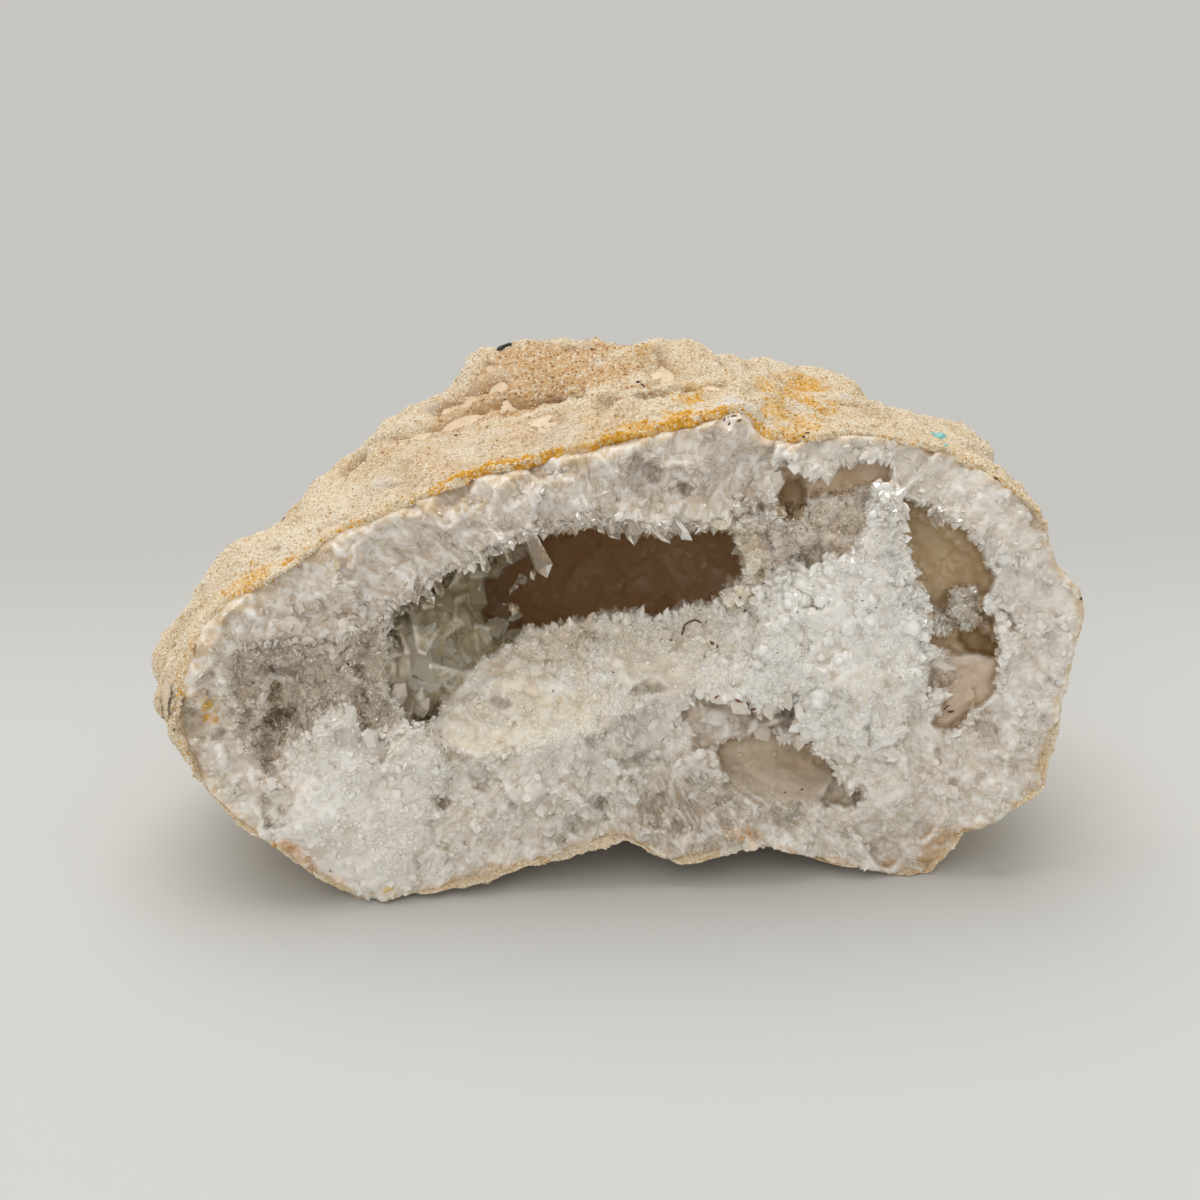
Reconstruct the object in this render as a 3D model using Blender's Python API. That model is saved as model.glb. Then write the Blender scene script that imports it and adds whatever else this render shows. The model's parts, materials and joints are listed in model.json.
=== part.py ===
"""Quartz geode: half of a broken nodule, lying on its rounded underside with the break facing -Y.

Frame: metres, +Z up, origin on the resting plane under the middle of the stone, X along its length.
Shape is worked out in millimetres in the frame of the break: X along it, S up it, W square into the stone.
"""
import bpy
import bmesh
import numpy as np
from math import sin, cos, radians, pi

# ------------------------------------------------------------------ driving dimensions (mm, degrees)
FACE_TILT = 10.0            # the break leans back this far from upright
FACE_FOOT = -47.55          # world Y of the foot of the break
SHIFT_X = -0.55             # centres the stone on the origin
SINK = 0.4                  # the outline is let down this far, so that both front corners rest
RIM_CENTRE = (0.0, 37.0)    # middle of the outline of the break, X and S
WAIST_W = 30.0              # depth at which the stone is widest
BACK_W = 57.0               # from there to its back
RISE = 0.150                # rise of the axis of the stone per mm of depth
FRONT_POWER, BACK_POWER = 2.6, 2.15     # how square the stone is ahead of and behind the waist
RIND_THICK = 2.4            # weathered skin, along the radius from the middle of the stone
RIND_THIN = 1.7             # the same skin underneath and on the right flank
GAP = 0.5                   # radial clearance, 0.3 mm or more square to the skin
SEGMENTS, RINGS = 64, 16    # mesh of the skin, round the axis and from the rim to the back

# Outlines were read off the picture of the stone in its 1200 px frame. sight() carries such a point along
# its line of sight to the plane of the break, or to a plane a given depth behind it.
VIEW_AZ, VIEW_EL, VIEW_DIST, FOCAL_PX = -5.0, 20.0, 340.0, 2000.0
VIEW_AIM = (-3.0, 51.7)     # X and S of the point in the middle of the frame

RIM_PX = [
    (178, 715), (180, 690), (186, 660), (197, 630), (222, 605), (258, 583), (290, 567), (330, 538),
    (375, 512), (415, 497), (465, 478), (520, 466), (590, 452), (640, 437), (688, 421), (720, 410),
    (745, 408), (765, 430), (800, 437), (840, 430), (880, 434), (920, 442), (955, 452), (985, 468),
    (1005, 482), (1030, 503), (1045, 522), (1053, 550), (1062, 572), (1084, 592), (1086, 612),
    (1074, 650), (1062, 700), (1054, 742), (1040, 790), (1018, 800), (1000, 815), (975, 826),
    (962, 830), (948, 852), (932, 877), (905, 879), (868, 869), (830, 866), (798, 853), (760, 843),
    (720, 855), (680, 861), (658, 857), (640, 845), (624, 839), (598, 848), (565, 860), (530, 866),
    (488, 881), (440, 889), (400, 895), (362, 902), (335, 884), (300, 864), (275, 846), (255, 832),
    (225, 806), (200, 780), (186, 748)]

# hollows that open in the break: centre and mouth in px, depth, drift of the middle per mm of depth,
# how square the hollow is, and the sector of it (degrees) whose floor slopes up to a crest: how far in the
# crest stands and how much of the mouth's radius is left there
HOLLOWS = {
    "main_mouth": dict(
        centre=(575, 605), depth=46.0, drift=(0.30, 0.03), power=2.6, slope=(-138, -22, 16.0, 0.14),
        mouth=[(388, 655), (400, 618), (432, 596), (455, 575), (500, 556), (540, 543), (580, 530),
               (612, 520), (640, 538), (672, 533), (700, 530), (735, 533), (748, 560), (747, 590),
               (742, 625), (722, 662), (690, 688), (640, 706), (600, 735), (560, 750), (500, 752),
               (450, 745), (405, 724), (396, 700), (386, 674)]),
    "right_pocket": dict(
        centre=(950, 610), depth=13.5, drift=(0.0, 0.0), power=2.2, slope=None,
        mouth=[(890, 490), (915, 497), (945, 512), (968, 530), (985, 560), (990, 600), (1000, 645),
               (985, 688), (952, 702), (932, 690), (938, 655), (928, 620), (924, 575), (905, 530)]),
    "upper_pocket": dict(
        centre=(830, 488), depth=13.0, drift=(0.0, 0.0), power=2.2, slope=None,
        mouth=[(768, 482), (790, 463), (830, 456), (870, 459), (893, 474), (888, 498), (860, 512),
               (830, 520), (800, 517), (775, 503)]),
    "lower_pocket": dict(
        centre=(775, 758), depth=12.0, drift=(0.0, 0.0), power=2.2, slope=None,
        mouth=[(700, 716), (735, 712), (765, 722), (795, 714), (815, 737), (838, 766), (860, 792),
               (845, 802), (800, 805), (760, 792), (722, 777), (702, 755)]),
    "left_pocket": dict(
        centre=(325, 697), depth=8.0, drift=(0.0, 0.0), power=2.0, slope=None,
        mouth=[(262, 675), (290, 661), (330, 655), (370, 662), (382, 682), (386, 705), (375, 724),
               (345, 736), (308, 738), (278, 732), (262, 705)]),
}
# chambers behind the mouth: middle (X, S, W) and radii
CHAMBERS = {
    "back_chamber": ((6.0, 47.0, 39.0), (28.0, 13.5, 18.0)),
    "left_chamber": ((-21.0, 45.0, 37.0), (16.0, 12.5, 13.0)),
}
# swellings and hollows of the skin: centre (X, S, W), radii, height
SWELLS = [
    ((-22.0, 92.0, 38.0), (30.0, 16.0, 17.0), 7.5),
    ((-17.0, 90.0, 38.0), (8.0, 12.0, 15.0), 9.0),
    ((11.0, 91.0, 37.0), (8.0, 12.0, 15.0), 3.5),
    ((-49.0, 75.0, 42.0), (11.0, 13.0, 15.0), -1.5),
    ((-63.0, 61.0, 38.0), (8.0, 10.0, 16.0), -2.5),
    ((54.0, 84.0, 38.0), (9.0, 12.0, 16.0), -3.5),
    ((66.0, 77.0, 17.0), (6.0, 6.0, 8.0), 2.5),
    ((-74.0, 50.0, 22.0), (6.0, 8.0, 10.0), 1.5),
    ((-20.0, 88.0, 22.0), (30.0, 9.0, 5.0), -2.5),
    ((-78.0, 34.0, 19.0), (13.0, 13.0, 12.0), 5.0),
    ((-30.0, 4.0, 52.0), (14.0, 12.0, 14.0), 1.4),
    ((36.0, 4.0, 50.0), (15.0, 12.0, 15.0), 3.4),
    ((-50.0, 6.0, 24.0), (22.0, 12.0, 12.0), -3.0),
    ((48.0, 6.0, 26.0), (20.0, 12.0, 14.0), -3.0),
]
# how far the skin stands out past the rim, by direction round the break (degrees, share of radius)
BULGE = [(-180, 0.06), (-150, 0.03), (-120, 0.012), (-60, 0.012), (-20, 0.008), (0, 0.006),
         (25, 0.008), (50, 0.012), (75, 0.04), (100, 0.07), (125, 0.04), (150, 0.03), (180, 0.06)]
# high and low ground on the break: centre (X, S), radii, depth below the plane (minus stands proud)
GROUND = [
    ((38.0, 46.0), (13.0, 16.0), -3.6), ((-47.0, 18.0), (15.0, 12.0), -3.0),
    ((52.0, 18.0), (15.0, 11.0), -1.6), ((-8.0, 74.0), (34.0, 6.0), 1.6),
    ((-60.0, 52.0), (16.0, 9.0), 1.8), ((2.0, 14.0), (20.0, 8.0), 1.5), ((72.0, 50.0), (7.0, 20.0), 1.6),
]


# ------------------------------------------------------------------ shape functions
def to_world(q):
    """(X, S, W) in mm to world mm."""
    t = radians(FACE_TILT)
    q = np.asarray(q, float)
    return np.stack([q[..., 0] + SHIFT_X, FACE_FOOT + q[..., 1] * sin(t) + q[..., 2] * cos(t),
                     q[..., 1] * cos(t) - q[..., 2] * sin(t) - SINK], -1)


def to_face(p):
    t = radians(FACE_TILT)
    p = np.asarray(p, float)
    y, z = p[..., 1] - FACE_FOOT, p[..., 2] + SINK
    return np.stack([p[..., 0] - SHIFT_X, y * sin(t) + z * cos(t), y * cos(t) - z * sin(t)], -1)


def sight(px, py, depth=0.0):
    """The point (X, S, W=depth) that shows at a pixel of the 1200 px frame."""
    a, e = radians(VIEW_AZ), radians(VIEW_EL)
    back = np.array([sin(a) * cos(e), -cos(a) * cos(e), sin(e)])
    right = np.array([cos(a), sin(a), 0.0])
    eye = to_world((VIEW_AIM[0], VIEW_AIM[1], 0.0)) + VIEW_DIST * back
    ray = -back + (px - 600.0) / FOCAL_PX * right + (600.0 - py) / FOCAL_PX * np.cross(back, right)
    p0, n = to_world((0, 0, depth)), to_world((0, 0, 1)) - to_world((0, 0, 0))
    return to_face(eye + np.dot(p0 - eye, n) / np.dot(ray, n) * ray)


def smooth(a, b, v):
    t = np.clip((v - a) / (b - a), 0.0, 1.0)
    return t * t * (3.0 - 2.0 * t)


def waves(q, scale, seed, count=7):
    """Seeded sum of slanted waves, about -1 to 1."""
    rng = np.random.default_rng(seed)
    out = np.zeros(q.shape[:-1])
    for _ in range(count):
        k = rng.normal(size=3)
        k *= 2.0 * pi / (scale * rng.uniform(0.75, 1.6) * np.linalg.norm(k))
        out += np.sin(q @ k + rng.uniform(0, 2 * pi)) / count ** 0.5
    return out


def polar(outline, centre):
    """An outline in px as radii over the angle about a centre (X, S)."""
    pts = np.array([sight(x, y)[:2] for x, y in outline]) - np.array(centre)
    ang, rad = np.arctan2(pts[:, 1], pts[:, 0]), np.hypot(pts[:, 0], pts[:, 1])
    order = np.argsort(ang)
    return ang[order], rad[order]


def around(phi, table):
    return np.interp(phi, table[0], table[1], period=2 * pi)


def even_out(table, spread):
    """The same outline with its notches rounded off, spread in degrees."""
    a = np.radians(np.arange(-180, 180))
    r = around(a, table)
    k = np.arange(-60, 61)
    g = np.exp(-0.5 * (k / spread) ** 2)
    return a, sum(w * np.roll(r, i) for i, w in zip(k, g / g.sum()))


RIM_TABLE = polar(RIM_PX, RIM_CENTRE)
WAIST_TABLE = even_out(RIM_TABLE, 9.0)
MIDDLE = np.array([RIM_CENTRE[0], RIM_CENTRE[1] + RISE * WAIST_W, WAIST_W])


def skin_radius(d):
    """Distance from the middle of the stone to its skin along the unit directions d."""
    s = d[..., 1] - RISE * d[..., 2]
    phi, side = np.arctan2(s, d[..., 0]), np.hypot(s, d[..., 0])
    bulge = np.interp(np.degrees(phi), *np.array(BULGE).T)
    front = WAIST_W / (1.0 - (1.0 + bulge) ** -FRONT_POWER) ** (1.0 / FRONT_POWER)
    ahead = d[..., 2] < 0
    power = np.where(ahead, FRONT_POWER, BACK_POWER)
    half = np.where(ahead, front, BACK_W)
    inner, outer = around(phi, WAIST_TABLE), around(phi, RIM_TABLE)
    wide = inner
    for _ in range(3):
        r = ((side / (wide * (1.0 + bulge))) ** power + (np.abs(d[..., 2]) / half) ** power) ** (-1.0 / power)
        near = 1.0 - smooth(1.0, 15.0, WAIST_W + r * d[..., 2])
        wide = inner + near * (outer - inner)
    q = MIDDLE + r[..., None] * d
    for c, size, height in SWELLS:
        r = r + height * np.exp(-(((q - c) / size) ** 2).sum(-1))
    away = smooth(0.0, 16.0, q[..., 2])
    r = r + away * (1.6 * waves(q, 26.0, 5) + 0.9 * waves(q, 12.0, 6))
    t = radians(FACE_TILT)
    down = d[..., 2] * sin(t) - d[..., 1] * cos(t)
    height = MIDDLE[1] * cos(t) - MIDDLE[2] * sin(t) - SINK
    return np.minimum(r, np.where(down > 1e-6, height / np.maximum(down, 1e-6), 1e9))


def rind_depth(d):
    """Thickness of the rind along the unit directions d: thin underneath and on the right flank."""
    return RIND_THIN + (RIND_THICK - RIND_THIN) * smooth(-0.2, 0.5, d[..., 1] - 0.35 * d[..., 0])


def break_depth(x, s):
    """Depth W of the broken face over (X, S)."""
    q = np.stack([x, s, np.zeros_like(x)], -1)
    w = 0.7 * waves(q, 24.0, 11) + 0.45 * waves(q, 11.0, 12)
    for (cx, cs), (rx, rs), h in GROUND:
        w = w + h * np.exp(-(((x - cx) / rx) ** 2 + ((s - cs) / rs) ** 2))
    return w


def rim_ring(inset):
    """Where the skin, taken inset mm down, meets the break, for every segment."""
    phi = -pi + 2 * pi * np.arange(SEGMENTS) / SEGMENTS
    lo, hi = np.full(SEGMENTS, 4.0), np.full(SEGMENTS, 130.0)
    for _ in range(48):
        r = 0.5 * (lo + hi)
        x, s = RIM_CENTRE[0] + r * np.cos(phi), RIM_CENTRE[1] + r * np.sin(phi)
        q = np.stack([x, s, break_depth(x, s)], -1) - MIDDLE
        far = np.linalg.norm(q, axis=-1)
        d = q / far[:, None]
        out = far > skin_radius(d) - inset * rind_depth(d) / RIND_THICK - (GAP if inset > RIND_THICK else 0.0)
        hi, lo = np.where(out, r, hi), np.where(out, lo, r)
    return q + MIDDLE


def shell_rings(inset):
    """Rings of points from the rim to the back of the stone, and the point at the back."""
    rim = rim_ring(inset)
    start = rim - MIDDLE
    start = start / np.linalg.norm(start, axis=-1)[:, None]
    end = np.array([0.0, RISE, 1.0]) / np.hypot(1.0, RISE)
    turn = np.arccos(np.clip(start @ end, -1, 1))[:, None]
    rings = [rim]
    for k in range(1, RINGS):
        t = k / RINGS
        d = (np.sin((1 - t) * turn) * start + np.sin(t * turn) * end) / np.sin(turn)
        r = skin_radius(d) - inset * rind_depth(d) / RIND_THICK - (GAP if inset > RIND_THICK else 0.0)
        rings.append(MIDDLE + r[:, None] * d)
    r = skin_radius(end[None]) - inset * rind_depth(end[None]) / RIND_THICK - (GAP if inset > RIND_THICK else 0.0)
    return rings, MIDDLE + r[0] * end


# ------------------------------------------------------------------ mesh building
def add_ring(bm, pts):
    return [bm.verts.new(p * 0.001) for p in to_world(pts)]


def bridge(bm, a, b):
    for i in range(len(a)):
        j = (i + 1) % len(a)
        bm.faces.new((a[i], a[j], b[j], b[i]))


def cap(bm, ring, point):
    top = bm.verts.new(to_world(point) * 0.001)
    for i in range(len(ring)):
        bm.faces.new((ring[i], ring[(i + 1) % len(ring)], top))


def finish(bm, name, material):
    bmesh.ops.triangulate(bm, faces=[f for f in bm.faces if len(f.verts) > 3], quad_method='SHORT_EDGE')
    bmesh.ops.recalc_face_normals(bm, faces=bm.faces)
    mesh = bpy.data.meshes.new(name)
    bm.to_mesh(mesh)
    bm.free()
    ob = bpy.data.objects.new(name, mesh)
    bpy.context.scene.collection.objects.link(ob)
    if material:
        mesh.materials.append(material)
        mesh.shade_smooth()
        mesh.set_sharp_from_angle(angle=radians(35))
    else:
        ob.hide_render = True
        ob.display_type = 'WIRE'
    return ob


def make_material(name, colour, roughness):
    m = bpy.data.materials.new(name)
    m.use_nodes = True
    p = m.node_tree.nodes["Principled BSDF"]
    p.inputs["Base Color"].default_value = (*colour, 1.0)
    p.inputs["Roughness"].default_value = roughness
    p.inputs["Metallic"].default_value = 0.0
    return m


def make_rind(material):
    bm = bmesh.new()
    outer, outer_back = shell_rings(0.0)
    inner, inner_back = shell_rings(RIND_THICK)
    a = [add_ring(bm, r) for r in outer]
    b = [add_ring(bm, r) for r in inner]
    for ring, nxt in zip(a, a[1:]):
        bridge(bm, ring, nxt)
    for ring, nxt in zip(b, b[1:]):
        bridge(bm, nxt, ring)
    bridge(bm, b[0], a[0])
    cap(bm, a[-1], outer_back)
    cap(bm, b[-1], inner_back)
    return finish(bm, "rind", material)


def make_quartz_blank(material):
    bm = bmesh.new()
    rings, back = shell_rings(RIND_THICK + 1e-6)
    rows = [add_ring(bm, r) for r in rings]
    for ring, nxt in zip(rows, rows[1:]):
        bridge(bm, ring, nxt)
    cap(bm, rows[-1], back)
    last, centre = rows[0], np.array([*RIM_CENTRE, 0.0])
    for share in (0.91, 0.76, 0.58, 0.38, 0.18):
        flat = centre + share * (rings[0] - centre)
        flat[:, 2] = break_depth(flat[:, 0], flat[:, 1])
        ring = add_ring(bm, flat)
        bridge(bm, ring, last)
        last = ring
    centre[2] = break_depth(centre[0:1], centre[1:2])[0]
    cap(bm, last, centre)
    return finish(bm, "quartz", material)


def hollow_share(h, phi, w):
    """Share of the mouth's radius that is left at depth w, by direction."""
    deep = np.clip(w / h["depth"], 0.0, 1.0)
    share = np.full_like(phi, (1.0 - deep ** h["power"]) ** (1.0 / h["power"]))
    if h["slope"]:
        lo, hi, run, crest = h["slope"]
        deg = np.degrees(phi)
        inside = smooth(lo - 8, lo + 8, deg) * (1.0 - smooth(hi - 8, hi + 8, deg))
        floor = np.minimum(share, max(crest, 1.0 - (1.0 - crest) * max(w, 0.0) / run))
        share = share + inside * (floor - share)
    return share


def make_hollow(name, h, count, levels):
    """A cutter that starts ahead of the break and narrows to a point at the depth of the hollow."""
    mid = sight(*h["centre"])
    table = polar(h["mouth"], mid[:2])
    phi = -pi + 2 * pi * np.arange(count) / count
    wide = around(phi, table)
    bm = bmesh.new()
    rows = []
    for w in [-9.0, 0.0] + [h["depth"] * v for v in levels]:
        share = hollow_share(h, phi, w)
        pts = np.stack([mid[0] + h["drift"][0] * w + wide * share * np.cos(phi),
                        mid[1] + h["drift"][1] * w + wide * share * np.sin(phi), np.full(count, w)], -1)
        rows.append(add_ring(bm, pts))
    for ring, nxt in zip(rows, rows[1:]):
        bridge(bm, ring, nxt)
    cap(bm, rows[0], np.array([mid[0], mid[1], -9.0]))
    deep = h["depth"]
    cap(bm, rows[-1], np.array([mid[0] + h["drift"][0] * deep, mid[1] + h["drift"][1] * deep, deep]))
    return finish(bm, name, None)


def make_chamber(name, middle, radii):
    bm = bmesh.new()
    bmesh.ops.create_icosphere(bm, subdivisions=3, radius=1.0)
    for v in bm.verts:
        d = np.array(v.co)
        q = np.array(middle) + np.array(radii) * d
        q = q + d * 0.9 * waves(q[None], 13.0, 21)[0]
        v.co = to_world(q) * 0.001
    return finish(bm, name, None)


def main():
    for ob in list(bpy.data.objects):
        bpy.data.objects.remove(ob, do_unlink=True)
    rind = make_rind(make_material("weathered_rind", (0.70, 0.58, 0.40), 0.92))
    quartz = make_quartz_blank(make_material("milky_quartz", (0.74, 0.71, 0.67), 0.30))
    cutters = [make_hollow("main_mouth", HOLLOWS["main_mouth"], 32, (0.16, 0.35, 0.56, 0.74, 0.88, 0.96))]
    for name in ("right_pocket", "upper_pocket", "lower_pocket", "left_pocket"):
        cutters.append(make_hollow(name, HOLLOWS[name], 18, (0.3, 0.65, 0.9)))
    for name, (middle, radii) in CHAMBERS.items():
        cutters.append(make_chamber(name, middle, radii))
    for cutter in cutters:
        mod = quartz.modifiers.new(cutter.name, 'BOOLEAN')
        mod.operation = 'DIFFERENCE'
        mod.solver = 'EXACT'
        mod.object = cutter
    stone = bpy.data.objects.new("geode", None)
    bpy.context.scene.collection.objects.link(stone)
    for ob in (rind, quartz):
        ob.parent = stone


main()
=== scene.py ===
"""Finish of the quartz geode: sandy rind, milky quartz wall with its cavities, clear crystals, crust and specks.

Shape is worked out in millimetres in the frame of the break: X along it, S up it, W square into the stone.
"""
import json
import time
import bpy
import numpy as np
from math import sin, cos, radians, degrees, pi
from mathutils import Matrix, Vector
from mathutils.bvhtree import BVHTree
from mathutils.kdtree import KDTree

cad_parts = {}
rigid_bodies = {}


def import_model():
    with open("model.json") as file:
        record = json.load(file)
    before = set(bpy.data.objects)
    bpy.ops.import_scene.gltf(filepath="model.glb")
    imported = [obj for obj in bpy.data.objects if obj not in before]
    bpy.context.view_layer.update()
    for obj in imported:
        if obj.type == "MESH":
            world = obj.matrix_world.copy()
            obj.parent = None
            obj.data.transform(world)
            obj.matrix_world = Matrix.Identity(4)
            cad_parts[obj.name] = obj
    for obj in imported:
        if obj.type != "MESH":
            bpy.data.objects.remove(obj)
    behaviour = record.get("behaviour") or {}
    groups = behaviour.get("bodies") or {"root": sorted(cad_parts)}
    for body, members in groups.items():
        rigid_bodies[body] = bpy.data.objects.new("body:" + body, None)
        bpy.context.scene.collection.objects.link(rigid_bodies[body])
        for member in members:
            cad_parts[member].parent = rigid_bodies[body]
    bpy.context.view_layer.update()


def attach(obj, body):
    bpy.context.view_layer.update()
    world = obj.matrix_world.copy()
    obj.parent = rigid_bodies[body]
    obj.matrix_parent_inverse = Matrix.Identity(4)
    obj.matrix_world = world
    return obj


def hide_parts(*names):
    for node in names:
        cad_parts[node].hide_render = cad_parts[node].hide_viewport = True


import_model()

CLOCK = time.perf_counter()


def tell(*words):
    print("[%6.1f s]" % (time.perf_counter() - CLOCK), *words, flush=True)


# ------------------------------------------------------------------ dimensions shared with the solids (mm, degrees)
FACE_TILT = 10.0
FACE_FOOT = -47.55
SHIFT_X = -0.55
SINK = 0.4
RIM_CENTRE = (0.0, 37.0)
WAIST_W = 30.0
BACK_W = 57.0
RISE = 0.150
FRONT_POWER, BACK_POWER = 2.6, 2.15
VIEW_AZ, VIEW_EL, VIEW_DIST, FOCAL_PX = -5.0, 20.0, 340.0, 2000.0
VIEW_AIM = (-3.0, 51.7)

RIM_PX = [
    (178, 715), (180, 690), (186, 660), (197, 630), (222, 605), (258, 583), (290, 567), (330, 538),
    (375, 512), (415, 497), (465, 478), (520, 466), (590, 452), (640, 437), (688, 421), (720, 410),
    (745, 408), (765, 430), (800, 437), (840, 430), (880, 434), (920, 442), (955, 452), (985, 468),
    (1005, 482), (1030, 503), (1045, 522), (1053, 550), (1062, 572), (1084, 592), (1086, 612),
    (1074, 650), (1062, 700), (1054, 742), (1040, 790), (1018, 800), (1000, 815), (975, 826),
    (962, 830), (948, 852), (932, 877), (905, 879), (868, 869), (830, 866), (798, 853), (760, 843),
    (720, 855), (680, 861), (658, 857), (640, 845), (624, 839), (598, 848), (565, 860), (530, 866),
    (488, 881), (440, 889), (400, 895), (362, 902), (335, 884), (300, 864), (275, 846), (255, 832),
    (225, 806), (200, 780), (186, 748)]

CHAMBERS = {
    "back_chamber": ((6.0, 47.0, 39.0), (28.0, 13.5, 18.0)),
    "left_chamber": ((-21.0, 45.0, 37.0), (16.0, 12.5, 13.0)),
}
SWELLS = [
    ((-22.0, 92.0, 38.0), (30.0, 16.0, 17.0), 7.5),
    ((-17.0, 90.0, 38.0), (8.0, 12.0, 15.0), 9.0),
    ((11.0, 91.0, 37.0), (8.0, 12.0, 15.0), 3.5),
    ((-49.0, 75.0, 42.0), (11.0, 13.0, 15.0), -1.5),
    ((-63.0, 61.0, 38.0), (8.0, 10.0, 16.0), -2.5),
    ((54.0, 84.0, 38.0), (9.0, 12.0, 16.0), -3.5),
    ((66.0, 77.0, 17.0), (6.0, 6.0, 8.0), 2.5),
    ((-74.0, 50.0, 22.0), (6.0, 8.0, 10.0), 1.5),
    ((-20.0, 88.0, 22.0), (30.0, 9.0, 5.0), -2.5),
    ((-78.0, 34.0, 19.0), (13.0, 13.0, 12.0), 5.0),
    ((-30.0, 4.0, 52.0), (14.0, 12.0, 14.0), 1.4),
    ((36.0, 4.0, 50.0), (15.0, 12.0, 15.0), 3.4),
    ((-50.0, 6.0, 24.0), (22.0, 12.0, 12.0), -3.0),
    ((48.0, 6.0, 26.0), (20.0, 12.0, 14.0), -3.0),
]
BULGE = [(-180, 0.06), (-150, 0.03), (-120, 0.012), (-60, 0.012), (-20, 0.008), (0, 0.006),
         (25, 0.008), (50, 0.012), (75, 0.04), (100, 0.07), (125, 0.04), (150, 0.03), (180, 0.06)]
GROUND = [
    ((38.0, 46.0), (13.0, 16.0), -3.6), ((-47.0, 18.0), (15.0, 12.0), -3.0),
    ((52.0, 18.0), (15.0, 11.0), -1.6), ((-8.0, 74.0), (34.0, 6.0), 1.6),
    ((-60.0, 52.0), (16.0, 9.0), 1.8), ((2.0, 14.0), (20.0, 8.0), 1.5), ((72.0, 50.0), (7.0, 20.0), 1.6),
]


def to_world(q):
    t = radians(FACE_TILT)
    q = np.asarray(q, float)
    return np.stack([q[..., 0] + SHIFT_X, FACE_FOOT + q[..., 1] * sin(t) + q[..., 2] * cos(t),
                     q[..., 1] * cos(t) - q[..., 2] * sin(t) - SINK], -1)


def to_face(p):
    t = radians(FACE_TILT)
    p = np.asarray(p, float)
    y, z = p[..., 1] - FACE_FOOT, p[..., 2] + SINK
    return np.stack([p[..., 0] - SHIFT_X, y * sin(t) + z * cos(t), y * cos(t) - z * sin(t)], -1)


def view_axes():
    a, e = radians(VIEW_AZ), radians(VIEW_EL)
    back = np.array([sin(a) * cos(e), -cos(a) * cos(e), sin(e)])
    right = np.array([cos(a), sin(a), 0.0])
    eye = to_world((VIEW_AIM[0], VIEW_AIM[1], 0.0)) + VIEW_DIST * back
    return eye, right, np.cross(back, right), back


def ray_at(px, py):
    eye, right, up, back = view_axes()
    ray = -back + (px - 600.0) / FOCAL_PX * right + (600.0 - py) / FOCAL_PX * up
    return eye, ray / np.linalg.norm(ray)


def sight(px, py, depth=0.0):
    """The point (X, S, W=depth) on the line of sight of a pixel of the 1200 px frame."""
    eye, ray = ray_at(px, py)
    p0, n = to_world((0, 0, depth)), to_world((0, 0, 1)) - to_world((0, 0, 0))
    return to_face(eye + np.dot(p0 - eye, n) / np.dot(ray, n) * ray)


def smooth(a, b, v):
    t = np.clip((v - a) / (b - a), 0.0, 1.0)
    return t * t * (3.0 - 2.0 * t)


def waves(q, scale, seed, count=7):
    rng = np.random.default_rng(seed)
    out = np.zeros(q.shape[:-1])
    for _ in range(count):
        k = rng.normal(size=3)
        k *= 2.0 * pi / (scale * rng.uniform(0.75, 1.6) * np.linalg.norm(k))
        out += np.sin(q @ k + rng.uniform(0, 2 * pi)) / count ** 0.5
    return out


def polar(outline, centre):
    pts = np.array([sight(x, y)[:2] for x, y in outline]) - np.array(centre)
    ang, rad = np.arctan2(pts[:, 1], pts[:, 0]), np.hypot(pts[:, 0], pts[:, 1])
    order = np.argsort(ang)
    return ang[order], rad[order]


def around(phi, table):
    return np.interp(phi, table[0], table[1], period=2 * pi)


def even_out(table, spread):
    a = np.radians(np.arange(-180, 180))
    r = around(a, table)
    k = np.arange(-60, 61)
    g = np.exp(-0.5 * (k / spread) ** 2)
    return a, sum(w * np.roll(r, i) for i, w in zip(k, g / g.sum()))


RIM_TABLE = polar(RIM_PX, RIM_CENTRE)
WAIST_TABLE = even_out(RIM_TABLE, 9.0)
MIDDLE = np.array([RIM_CENTRE[0], RIM_CENTRE[1] + RISE * WAIST_W, WAIST_W])


def floor_reach(d):
    """Distance from the middle of the stone to the ground it rests on."""
    t = radians(FACE_TILT)
    down = d[..., 2] * sin(t) - d[..., 1] * cos(t)
    height = MIDDLE[1] * cos(t) - MIDDLE[2] * sin(t) - SINK
    return np.where(down > 1e-6, height / np.maximum(down, 1e-6), 1e9)


def skin_radius(d):
    """Distance from the middle of the stone to its plain skin along the unit directions d."""
    s = d[..., 1] - RISE * d[..., 2]
    phi, side = np.arctan2(s, d[..., 0]), np.hypot(s, d[..., 0])
    bulge = np.interp(np.degrees(phi), *np.array(BULGE).T)
    front = WAIST_W / (1.0 - (1.0 + bulge) ** -FRONT_POWER) ** (1.0 / FRONT_POWER)
    ahead = d[..., 2] < 0
    power = np.where(ahead, FRONT_POWER, BACK_POWER)
    half = np.where(ahead, front, BACK_W)
    inner, outer = around(phi, WAIST_TABLE), around(phi, RIM_TABLE)
    wide = inner
    for _ in range(3):
        r = ((side / (wide * (1.0 + bulge))) ** power + (np.abs(d[..., 2]) / half) ** power) ** (-1.0 / power)
        near = 1.0 - smooth(1.0, 15.0, WAIST_W + r * d[..., 2])
        wide = inner + near * (outer - inner)
    q = MIDDLE + r[..., None] * d
    for c, size, height in SWELLS:
        r = r + height * np.exp(-(((q - c) / size) ** 2).sum(-1))
    away = smooth(0.0, 16.0, q[..., 2])
    r = r + away * (1.6 * waves(q, 26.0, 5) + 0.9 * waves(q, 12.0, 6))
    return np.minimum(r, floor_reach(d))


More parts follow.
